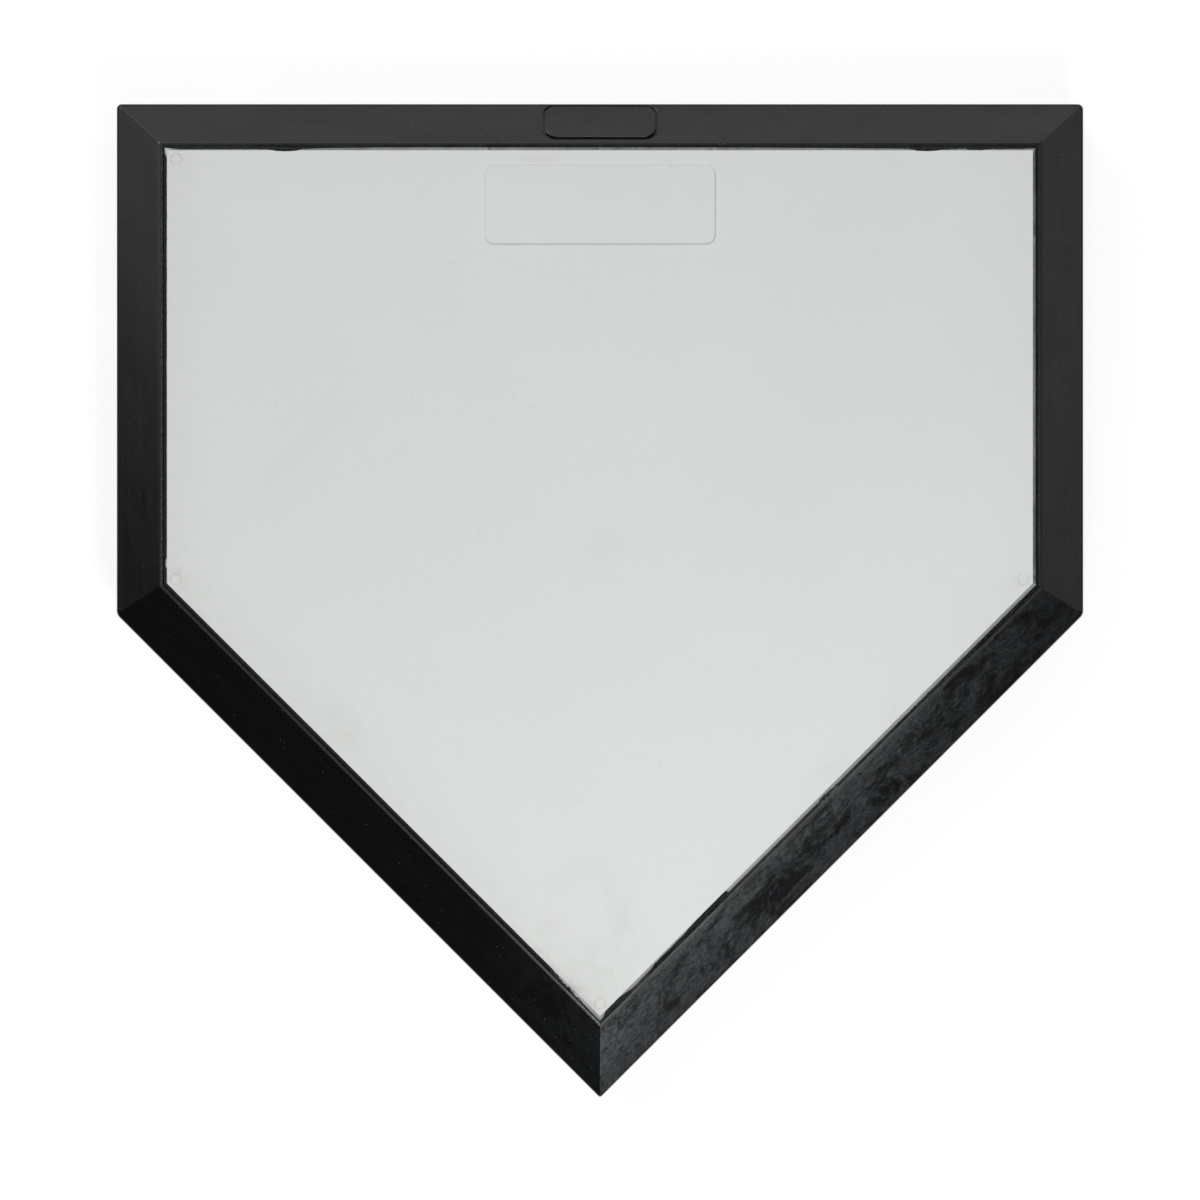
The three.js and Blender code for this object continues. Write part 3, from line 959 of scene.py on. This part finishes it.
bevel_run = front_border - lip_outer
bevel_rise = bevel_top - bevel_foot
bevel_length = math.hypot(bevel_run, bevel_rise)
pad_rims = [PAD_MARGIN - PAD_RIM_OUT, bevel_length - PAD_MARGIN + PAD_RIM_OUT]
bevel_places = grid_lines(bevel_length, *BEVEL_SPACING, [(rim, PAD_RIM_REACH) for rim in pad_rims])
bevel_places = bevel_places[bevel_places > BEVEL_EDGE_ROUND]
# At its outer edge the slope falls away in a curve, which the first rows follow
edge_turn = np.arange(1, BEVEL_EDGE_STEPS + 1) / BEVEL_EDGE_STEPS
bevel_shares = np.concatenate((BEVEL_EDGE_ROUND * edge_turn**2, bevel_places)) / bevel_length
edge_fall = np.zeros(len(bevel_shares))
edge_fall[:BEVEL_EDGE_STEPS] = BEVEL_EDGE_ROUND * (1 - edge_turn) ** 2

hollow = body_ring(SKIRT_WALL, MOUTH_CORNER)
outside = body_ring(0, BODY_CORNER)
foot = quarter_circle(FOOT_ROUND, FOOT_STEPS)
skirt_heights = np.linspace(FOOT_ROUND, bevel_foot - BEVEL_EDGE_ROUND, SKIRT_STEPS)
pocket_top = web_top + FLANGE_THICKNESS + FIT_GAP
pocket = rounded_ring(even_pentagon(FLANGE_REACH + FIT_GAP), MOUTH_CORNER, body_shares)

rows = [level(hollow, web_bottom), level(hollow, FOOT_ROUND)]
rows += [level(body_ring(SKIRT_WALL - rise, MOUTH_CORNER), fall) for fall, rise in foot[1:]]
rows += [level(body_ring(fall, BODY_CORNER), rise) for fall, rise in foot]
skirt_rows = slice(len(rows), len(rows) + SKIRT_STEPS)
rows += [level(outside, z) for z in skirt_heights]
bevel_rows = slice(len(rows), len(rows) + len(bevel_shares))
rows += [
    level(bevel_ring(share), bevel_foot + share * bevel_rise - fall)
    for share, fall in zip(bevel_shares, edge_fall)
]
lip_rows = slice(len(rows), len(rows) + len(lip_stops))
rows += [level(lip_ring(out, LIP_CORNER), bevel_top + up) for out, up in lip_stops]
rows += [level(lip_ring(lip_inner, MOUTH_CORNER), pocket_top)]
rows += [level(pocket, pocket_top), level(pocket, web_top)]
body = np.stack(rows)
print("profile of the body:", body.shape[0], "stops,", body.shape[1], "points round")

# %% [markdown]
# The relief of the body is added to those arrays. The blank pad on the front bevel is a smooth step
# like the panel, laid on the slope, with rounder corners on its inner side. Round it runs the groove
# that its insert left in the mould, deep along the two long sides and faint at the ends. Each nail
# pulls a shallow dimple into the skirt, a bell curve of the distance from the nail. Long, low waves
# keep the bevel from looking machined.

# %% Pad, dimples and unevenness
PAD_OUTER_CORNER = 5.5
PAD_INNER_CORNER = 6.4
PAD_RISE = 0.8
PAD_SLOPE = 0.35
PAD_GROOVE_DEPTH = 1.2
PAD_GROOVE_WIDTH = 1.1
# How far outside the pad's edge the groove's middle lies, the share of its depth at the pad's ends, and
# between which shares of the way to a long side it deepens
PAD_GROOVE_OUT = 0.44
END_GROOVE = 0.12
DEEPER_FROM, DEEPER_TO = 0.5, 0.9
DIMPLE_DEPTH = 0.9
DIMPLE_RADIUS = 7.0
# A nail pulls only at points this near to its wall's plane
WALL_NEAR = 1
BODY_UNEVENNESS = 0.12
BODY_WAVES = {"longest": 130, "count": 8}
LIP_UNEVENNESS = 0.02
LIP_WAVES = {"longest": 60, "count": 8}

front_points = slice(CORNER_STEPS, CORNER_STEPS + len(body_shares[0]))
slope = math.atan2(bevel_rise, bevel_run)
up_slope = (bevel_shares - 0.5)[:, None] * bevel_length
pad_half = bevel_length / 2 - PAD_MARGIN
pad_corner = np.where(up_slope > 0, PAD_INNER_CORNER, PAD_OUTER_CORNER)
pad_edge = rounded_box_distance(
    body[bevel_rows, front_points, 0], up_slope, PAD_WIDTH / 2, pad_half, pad_corner
)
deeper = ease((np.abs(up_slope) / pad_half - DEEPER_FROM) / (DEEPER_TO - DEEPER_FROM))
groove = np.clip(1 - 2 * np.abs(pad_edge - PAD_GROOVE_OUT) / PAD_GROOVE_WIDTH, 0, 1)
groove *= PAD_GROOVE_DEPTH * (END_GROOVE + (1 - END_GROOVE) * deeper)
pad_rise = PAD_RISE * ease(-pad_edge / PAD_SLOPE) - groove
bevel_wave = BODY_UNEVENNESS * waves(body[bevel_rows, :, 0], body[bevel_rows, :, 1], **BODY_WAVES)
bevel_wave *= np.sin(math.pi * bevel_shares)[:, None]
lip_wave = LIP_UNEVENNESS * waves(body[lip_rows, :, 0], body[lip_rows, :, 1], **LIP_WAVES)
body[bevel_rows, :, 2] += bevel_wave
body[lip_rows, :, 2] += lip_wave
body[bevel_rows, front_points, 1] += pad_rise * math.sin(slope)
body[bevel_rows, front_points, 2] += pad_rise * math.cos(slope)

skirt = body[skirt_rows]
for _, head, outward in nails:
    offset = skirt - head
    on_wall = np.abs(offset[..., :2] @ outward) < WALL_NEAR
    along = offset[..., 0] * outward[1] - offset[..., 1] * outward[0]
    pull = DIMPLE_DEPTH * bell(along / DIMPLE_RADIUS, offset[..., 2] / DIMPLE_RADIUS) * on_wall
    skirt[..., :2] -= pull[..., None] * outward
print(f"highest point of the body {body[..., 2].max():.2f} mm")
black_body = make_tube("black_rubber_body", body)

# %% [markdown]
# How much bloom a point has depends on the side that it is on, and on how far along it is. The right
# slant is hazy, most of all near the point, and the others are nearly clean. A second value says where
# hands wiped the haze away or left it thick: the material compares it with a noise, so that such a
# place has a ragged edge. Wiping polishes too, so a third value is how dull the rubber is. The inner
# edge of the lip gets the value for rubbed rubber. "sweep" is the distance round the body and up its
# profile. What changes along a side is written as knots, a place and the value there, and read in
# between.

# %% Where there is bloom, and where it was wiped
# Bloom on each side, at shares of its length: front, left, left slant, right slant, which starts at the
# point, and right
SIDE_BLOOM = [
    [(0, 0.04)],
    [(0, 0.03), (1, 0.02)],
    [(0, 0.004), (0.7, 0.008), (1, 0.09)],
    [(0, 0.75), (0.004, 0.6), (0.05, 0.56), (0.1, 0.5), (0.22, 0.55), (0.4, 0.44), (0.6, 0.42),
     (0.7, 0.33), (0.85, 0.24), (1, 0.1)],
    [(0, 0.04)],
]
# The share of the bloom at the bevel's outer edge, which sleeves touch most, at its inner edge, and on
# the lip, which is wiped cleaner from its third stop on
EDGE_BLOOM = 0.7
INNER_BLOOM = 1.2
LIP_BLOOM = 0.8
LIP_CLEAN_FROM = 2
# Places on the right slant that were wiped, or left hazy where the strength is below zero: how far from
# the point along the white edge, how far out from it, half the length, half the width, and strength
WIPED = [
    (15, 10, 14, 4, 0.12),
    (29, 24, 6, 4, 0.2),
    (70, 22.5, 9, 7, 0.2),
    (109, 18.5, 20, 6, 0.25),
    (99, 21.5, 10, 6, 0.22),
    (149, 19, 9, 8, 0.18),
    (172, 21, 11, 7, 0.2),
    (185, 24, 8, 4, 0.2),
    (200, 24, 14, 4, 0.16),
    (222, 10, 10, 4, 0.15),
    (245, 16, 20, 8, 0.08),
    (4, 25, 24, 10, -0.45),
    (42, 22, 9, 7, -0.35),
    (56, 13, 9, 4, -0.2),
    (130, 26, 20, 4, -0.05),
    (183, 9, 46, 4.5, -0.28),
]
WIPED_ELSEWHERE = 0.4
# How far the ends of those places are shifted by chance, and the waves of that
WIPED_SHIFT = 6
WIPED_WAVES = {"longest": 24, "count": 9}


def read_knots(places, table):
    """The values at some places along each side, from that side's knots, side after side."""
    return np.concatenate([np.interp(at, *zip(*knots)) for at, knots in zip(places, table)])


ring_shares = [np.concatenate((np.zeros(CORNER_STEPS), shares)) for shares in body_shares]


def round_body(table):
    """Values round the body from the knots of its sides. Each corner's arc is shared between its two
    sides, so the values move on by half an arc."""
    return np.roll(read_knots(ring_shares, table), CORNER_STEPS // 2)


bloom = np.tile(round_body(SIDE_BLOOM), (body.shape[0], 1))
bloom[bevel_rows] *= EDGE_BLOOM + (INNER_BLOOM - EDGE_BLOOM) * bevel_shares[:, None]
bloom[lip_rows.start + LIP_CLEAN_FROM:] *= LIP_BLOOM
over_point = body[..., 1] - face_corners[3, 1]
along_slant = (body[..., 0] + over_point * SLANT_RISE) / POINT_SHIFT
off_slant = (body[..., 0] * SLANT_RISE - over_point) / POINT_SHIFT
shifted = along_slant + WIPED_SHIFT * waves(along_slant, off_slant, **WIPED_WAVES)
wiped = np.full(body.shape[:2], WIPED_ELSEWHERE)
for along, out, half_long, half_wide, strength in WIPED:
    wiped += strength * bell((shifted - along) / half_long, (off_slant - out) / half_wide)
print(f"bloom up to {bloom.max():.2f}, wiped from {wiped.min():.2f} to {wiped.max():.2f}")

# %% Where the body is dull or rubbed, and its sweep
# How dull clean rubber is, as the shader's roughness, how much wiping polishes it, and how dull the lip
# is, from the front to the right side
CLEAN_DULL = 0.3
POLISH = 0.15
LIP_DULL = [[(0, 0.3)], [(0, 0.24)], [(0, 0.27)], [(0, 0.52)], [(0, 0.42)]]
# How rubbed the lip's inner edge is. The left slant has crumbs of torn rubber near the point
LIP_RUBBED = [
    [(0, 0.1)],
    [(0, 0.3)],
    [(0, 0.06), (0.885, 0.06), (0.9, 1.0), (0.99, 1.0), (1, 0.1)],
    [(0, 0.05)],
    [(0, 0.3)],
]
# The share of that on the lip's top, beside its edge
TOP_RUBBED = 0.25

dull = CLEAN_DULL - POLISH * np.clip(wiped - WIPED_ELSEWHERE, 0, 1)
dull[lip_rows] = round_body(LIP_DULL)
ring_rubbed = round_body(LIP_RUBBED)
top_rows = slice(lip_rows.start + 6, lip_rows.stop - 5)
inner_rows = slice(lip_rows.stop - 5, lip_rows.stop - 1)
rubbed = np.zeros(body.shape[:2])
rubbed[top_rows] = TOP_RUBBED * ring_rubbed
rubbed[inner_rows] = ring_rubbed


def distance_along(points):
    """The distance of each point from the first, measured from point to point."""
    steps = np.diff(points, axis=0, prepend=points[:1])
    return np.linalg.norm(steps, axis=-1).cumsum(axis=0)


def add_sweep(piece, grid):
    """Distance along the first row of a grid of points, and across its rows on the average, for
    patterns that follow the piece."""
    sweep = np.zeros(grid.shape)
    sweep[..., 0] = distance_along(grid[0])
    sweep[..., 1] = distance_along(grid).mean(axis=1)[:, None]
    add_vectors(piece, "sweep", sweep)


add_values(black_body, bloom=bloom, wiped=np.clip(wiped, 0, 1), dull=dull, rubbed=rubbed)
add_sweep(black_body, body)
finish_piece(black_body, black_material, "black_rubber", "rubber_body")

# %% [markdown]
# ## Flash
#
# The two rubbers were pressed together hot, and a film of black crept up the white chamfer before it
# set: flash. It shows how the plate was made. On the left it reaches the white face everywhere, on
# the right it stops half way, and here and there it laps over the edge in a blob or is torn off in
# flakes. It is a strip that follows the section there: a thin skin from the lip, over the gap and up
# the chamfer to a reach that changes along the edge, written down edge by edge.

# %% How far the flash reaches
# For each edge, distances along it and the flash's reach up the chamfer and over the edge there
FLASH_REACH = [
    # front, from right to left, with two blobs that lap over the edge
    [(0, 1.2), (6, 1.7), (23, 1.9), (26, 2.9), (31, 2.8), (34, 1.7), (44, 1.8), (47, 3.1), (52, 3.5),
     (58, 3.3), (62, 1.5), (91, 1.1), (140, 0.5), (205, 0.3), (320, 0.3), (350, 0.9), (364, 1.7),
     (367, 3.2), (373, 3.6), (378, 3.3), (382, 1.9), (415, 2.0), (426, 1.9), (429, 1.0), (431.8, 0.7)],
    # left, from the front to the shoulder, with one bare patch
    [(0, 0.7), (2, 1.0), (4, 2.7), (203, 2.75), (204, 1.8), (207, 1.8), (208.5, 2.75)],
    # left slant, from the shoulder to the point, torn off near the point
    [(0, 2.75), (270, 2.75), (272, 2.4), (275, 1.6), (285, 1.2), (292, 0.6), (298, 0.25),
     (305.3, 0.1)],
    # right slant, from the point to the shoulder
    [(0, 0.3), (2, 0.5), (4, 2.8), (14, 2.9), (17, 2.0), (22, 0.5), (36, 0.4), (38.5, 1.8), (58, 1.9),
     (63, 2.5), (67, 3.0), (86, 3.1), (89, 2.8), (90, 0.3), (153, 0.15), (156, 1.8), (159, 0.9),
     (161, 1.7), (164, 0.15), (305.3, 0.1)],
    # right, from the shoulder to the front
    [(0, 0.1), (3, 0.3), (30, 0.55), (110, 0.6), (200, 0.65), (215.9, 1.0)],
]
# How far the flash lies out over the gap and the lip, below the chamfer. By the right shoulder it hides
# the lip
FLASH_FOOT = [
    [(0, 1.4)],
    [(0, 0.35)],
    [(0, 0.3)],
    [(0, 1.4), (215, 1.4), (265, 2.4)],
    [(0, 1.6), (25, 1.2)],
]
# How much bloom the flash has
FLASH_BLOOM = [
    [(0, 0.1)],
    [(0, 0.0)],
    [(0, 0.0)],
    [(0, 0.28), (215, 0.28), (265, 0.1), (305.3, 0.04)],
    [(0, 0.08), (25, 0.12)],
]
# Stretches with a torn edge: the edge's number, from where to where, and how rough
TORN = [
    (0, 20, 45, 0.5), (1, 0, 7, 0.6), (1, 10, 110, 0.3), (2, 271, 293, 1.2), (3, 16, 66, 0.3),
    (3, 152, 166, 0.8),
]
FLASH_SPACING = 0.5
# How rough the edge is elsewhere, over which lengths it changes, by how much of the roughness, and the
# least and most that the flash may reach
FLASH_ROUGHNESS = 0.05
TORN_LENGTHS = (4, 0.9)
TORN_SHARE = 0.6
REACH_LIMITS = (0.05, 4.2)

face_edges = np.linalg.norm(edges_of(face_corners), axis=1)
flash_places = [np.arange(0, length, FLASH_SPACING) for length in face_edges]
reach, flash_foot, flash_bloom = (
    read_knots(flash_places, table) for table in (FLASH_REACH, FLASH_FOOT, FLASH_BLOOM)
)
edge_number = np.repeat(np.arange(5), [len(places) for places in flash_places])
along_edge = np.concatenate(flash_places)
edge_share = (along_edge / face_edges[edge_number])[:, None]
roughness = np.full(len(reach), FLASH_ROUGHNESS)
for edge, start, end, rough in TORN:
    roughness[(edge_number == edge) & (along_edge > start) & (along_edge < end)] = rough
around = np.arange(len(reach)) * FLASH_SPACING
tears = sum(wander(around, length) for length in TORN_LENGTHS)
reach = np.clip(reach + TORN_SHARE * roughness * tears, *REACH_LIMITS)
print(f"flash reaches from {reach.min():.2f} to {reach.max():.2f} mm up the section")

# %% The flash's piece
FLASH_THICKNESS = 0.25
# The flash is rubbed where its edge is rougher than this, and hardly elsewhere
RUBBED_FROM = 0.7
RUBBED_ELSEWHERE = 0.1
lip_level = bevel_top + LIP_INNER_STOPS[0][1] - plate_top
# The section from the lip's top over the gap, up the chamfer and over the edge, out and up from the
# white face's edge, and the way that the surface faces at each stop
SECTION = np.array(
    [(4.4, lip_level), (2.7, lip_level), (2.3, lip_level - 0.04), (CHAMFER_RUN, -CHAMFER_DROP),
     (0.24, -0.3), (0.06, -0.12), (-0.15, -0.03), (-0.4, 0.0), (-4.0, 0.0)]
)
SECTION_NORMAL = np.array(
    [(0, 1), (0, 1), (0.2, 0.98), (0.6, 0.8), (0.78, 0.62), (0.6, 0.8), (0.2, 0.98), (0, 1), (0, 1)]
)
CHAMFER_FOOT = 3
# Stops across the flash: share of its width, and share of its thickness off the surface below it
FLASH_STOPS = [
    (0.0, 0.1), (0.12, 0.6), (0.3, 1.0), (0.6, 0.95), (0.85, 0.8), (0.96, 0.55), (1.0, 0.25),
    (1.0, -0.3), (0.5, -0.6), (0.0, -0.4),
]

section_length = distance_along(SECTION)
section_length -= section_length[CHAMFER_FOOT]


def on_section(distance, values):
    """Values given at the section's stops, read at any distance along it."""
    return np.column_stack([np.interp(distance, section_length, column) for column in values.T])


def sharp_ring(corners):
    """A closed ring with sharp corners: points at the flash's shares of each edge."""
    return corners[edge_number] + edge_share * edges_of(corners)[edge_number]


plan = sharp_ring(face_corners)
plan_out = sharp_ring(even_pentagon(1)) - plan
flash_rows = []
for share, off in FLASH_STOPS:
    distance = share * (reach + flash_foot) - flash_foot
    skin = on_section(distance, SECTION) + off * FLASH_THICKNESS * on_section(distance, SECTION_NORMAL)
    flash_rows.append(np.column_stack((plan + skin[:, :1] * plan_out, plate_top + skin[:, 1])))
flash_points = np.stack(flash_rows)
flash_index = grid_index(flash_points)
flash_faces = grid_faces(np.vstack((flash_index, flash_index[0])), closed=True)
flash = make_piece("black_rubber_flash", flash_points.reshape(-1, 3), flash_faces)
flash_rubbed = np.where(roughness > RUBBED_FROM, 1.0, RUBBED_ELSEWHERE)
add_values(
    flash,
    bloom=np.broadcast_to(flash_bloom, flash_index.shape),
    wiped=np.full(flash_index.shape, WIPED_ELSEWHERE),
    dull=np.full(flash_index.shape, CLEAN_DULL),
    rubbed=np.broadcast_to(flash_rubbed, flash_index.shape),
)
add_sweep(flash, flash_points)
finish_piece(flash, flash_material, "black_rubber")

# %% [markdown]
# ## The boards
#
# Four boards fill the hollow. Each is the outline of the hollow cut to a strip, so it has straight
# ends in the front half and slanted ones towards the point. Sawn boards have their edges eased, which
# a profile round the outline gives: a quarter circle below, a straight wall, and a quarter circle
# above.

# %% The boards
BOARD_CLEARANCE = 0.5
BOARD_EASE = 1.6
EASE_STEPS = 5
# The heart of each board's log, from the centre of the object: along, across and up
HEARTS = {
    "front_board": (900, 190, 75),
    "middle_board": (-350, 40, -38),
    "shoulder_board": (400, -58, 66),
    "point_board": (-800, -190, -30),
}
hollow_corners = body_pentagon(SKIRT_WALL + BOARD_CLEARANCE)
point_y = hollow_corners[3, 1]


def board_outline(top, bottom):
    """The hollow's outline between two distances from front to back, counter-clockwise. Its half width
    is that of the hollow, or the distance from the point if that is less."""
    widest, shoulder_y = hollow_corners[4]
    half_top = min(widest, (top - point_y) / SLANT_RISE)
    half_bottom = min(widest, (bottom - point_y) / SLANT_RISE)
    shoulder = [(-widest, shoulder_y)] if bottom < shoulder_y < top else []
    left = [(-half_top, top), *shoulder, (-half_bottom, bottom)]
    right = [(-x, y) for x, y in reversed(left)]
    if half_bottom < BOARD_EASE:
        right = right[1:]
    return np.array(left + right)


def moved_in(corners, distance):
    """A convex outline with each edge moved in: a corner moves against the sum of its two edges'
    outward normals, over one plus their product."""
    ahead = edges_of(corners)
    ahead /= np.linalg.norm(ahead, axis=1)[:, None]
    normal = np.column_stack((ahead[:, 1], -ahead[:, 0]))
    before = np.roll(normal, 1, axis=0)
    shared = 1 + np.sum(normal * before, axis=1)
    return corners - distance * (normal + before) / shared[:, None]


for node, heart in HEARTS.items():
    low, high = box_of(node)
    outline = board_outline(high[1], low[1])
    stops = [(inset, low[2] + up) for inset, up in quarter_circle(BOARD_EASE, EASE_STEPS)]
    stops += [(inset, low[2] + high[2] - z) for inset, z in reversed(stops)]
    rings = np.stack([level(moved_in(outline, inset), z) for inset, z in stops])
    board = make_tube("pine_" + node, rings)
    add_vectors(board, "grain", rings - np.array(heart))
    finish_piece(board, pine_material, "treated_wood", node)

# %% [markdown]
# ## The nails
#
# A nail is turned: its profile goes round an axis. The head is a flat dome with a rounded rim, the
# shank has a small fillet under the head, and the point is a cone. One function makes the profile's
# rings about any level axis, and a loop places them.

# %% The nails
NAIL_SIDES = 28
# The nail's profile from its point to the middle of its head: radius, and height over the head's top
NAIL_PROFILE = np.array(
    [(0.15, -38.0), (0.9, -35.6), (1.7, -33.0), (1.7, -2.3), (1.9, -1.85), (2.4, -1.65), (4.4, -1.6),
     (4.8, -1.5), (5.0, -1.25), (5.0, -0.8), (4.85, -0.52), (4.4, -0.33), (3.4, -0.15), (2.0, -0.04),
     (0.6, 0.0)]
)


def turned(profile, middle, outward):
    """A profile turned about the level axis through middle: each ring is a circle of the profile's
    radius, in the plane of Z and the sideways direction, moved along outward by its height."""
    angles = np.linspace(0, 2 * math.pi, NAIL_SIDES, endpoint=False)
    axis = np.array((*outward, 0.0))
    sideways = np.array((-outward[1], outward[0], 0.0))
    circle = np.outer(np.cos(angles), sideways) + np.outer(np.sin(angles), (0, 0, 1))
    return middle + profile[:, :1, None] * circle + profile[:, 1:, None] * axis


for node, head, outward in nails:
    nail = make_tube("zinc_" + node, turned(NAIL_PROFILE, head, outward))
    finish_piece(nail, zinc_material, "galvanised_steel", node)

# %% [markdown]
# ## Floor, light and picture
#
# The object lies on white paper in a studio. The paper's material adds a little light of its own for
# the camera and for mirrors, so that it reads as white but keeps the soft shadow. The black rubber
# shows what stands round it: pale screens in front and at the sides make the bevels grey, a dim
# ceiling lifts them all a little, and the back left, where nothing stands, stays black. Two soft boxes
# give the light: a far one from the front left, which draws the relief, and a near one over the right
# slant, which makes that corner brighter. A lamp's power follows from how bright its face should be:
# pi times its area times that brightness.

# %% Floor
FLOOR_SIZE = 8.0
FLOOR_GLOW = 0.8
floor_material = bpy.data.materials.new("white_paper")
tree = empty_tree(floor_material)
rays = add(tree, "LightPath").outputs
seen = rays["Is Camera Ray"]
for ray in ("Is Glossy Ray", "Is Transmission Ray"):
    seen = add(tree, "Math", LARGER, seen, rays[ray])
own_light = add(tree, "MapRange", Value=seen, To_Max=FLOOR_GLOW)
paper = add(tree, "BsdfDiffuse", Color=colour("#959595"))
glow = add(tree, "Emission", Color=colour("#ffffff"), Strength=own_light)
both = add(tree, "AddShader", None, paper, glow)
add(tree, "OutputMaterial", Surface=both)

floor_corners = np.array([(-1, -1, 0), (1, -1, 0), (1, 1, 0), (-1, 1, 0)]) * FLOOR_SIZE / 2 / MM
floor = make_piece("floor", floor_corners, [[0, 1, 2, 3]])
floor.data.materials.append(floor_material)
floor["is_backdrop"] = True
print("floor", FLOOR_SIZE, "m wide")

# %% Lamps
centre = Vector((0, 0, plate_top * MM))


def soft_box(name, azimuth, elevation, distance, width, height, brightness):
    """An area lamp that faces the plate from a direction: azimuth counter-clockwise from +X, and
    elevation above the floor, in degrees. Distance, width and height are in metres."""
    turn, rise = math.radians(azimuth), math.radians(elevation)
    away = Vector((math.cos(turn) * math.cos(rise), math.sin(turn) * math.cos(rise), math.sin(rise)))
    lamp = bpy.data.objects.new(name, bpy.data.lights.new(name, "AREA"))
    lamp.data.shape = "RECTANGLE"
    lamp.data.size, lamp.data.size_y = width, height
    lamp.data.energy = math.pi * width * height * brightness
    lamp.location = centre + away * distance
    lamp.rotation_euler = away.to_track_quat("Z", "Y").to_euler()
    lamp.visible_camera = False
    scene.collection.objects.link(lamp)


soft_box("front_left_box", 138, 42, 6.0, 2.4, 2.4, 5.5)
soft_box("right_slant_box", -70, 60, 1.1, 0.42, 0.42, 11.0)
soft_box("front_screen", 90, 34, 3.0, 4.0, 1.4, 1.43)
soft_box("right_screen", 22, 34, 3.0, 2.4, 1.4, 0.84)
soft_box("left_screen", 152, 34, 1.4, 0.8, 0.8, 0.93)
soft_box("ceiling", 150, 78, 3.5, 3.0, 3.0, 0.58)

# %% World and picture
ROOM_LIGHT = 0.02
BACKDROP_LIGHT = 1.0
scene.world = bpy.data.worlds.new("dim_room")
tree = empty_tree(scene.world)
rays = add(tree, "LightPath").outputs
room = add(tree, "Background", Color=colour("#ffffff"), Strength=ROOM_LIGHT)
backdrop = add(tree, "Background", Color=colour("#ffffff"), Strength=BACKDROP_LIGHT)
choice = add(tree, "MixShader", None, rays["Is Camera Ray"], room, backdrop)
add(tree, "OutputWorld", Surface=choice)
scene.view_settings.view_transform = "Standard"
print("view transform:", scene.view_settings.view_transform)

# %% [markdown]
# ## Sizes at the end
#
# The dressed object must not outgrow its solids, so its box is worked out at the end.

# %% The dressed object's box
low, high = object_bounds()
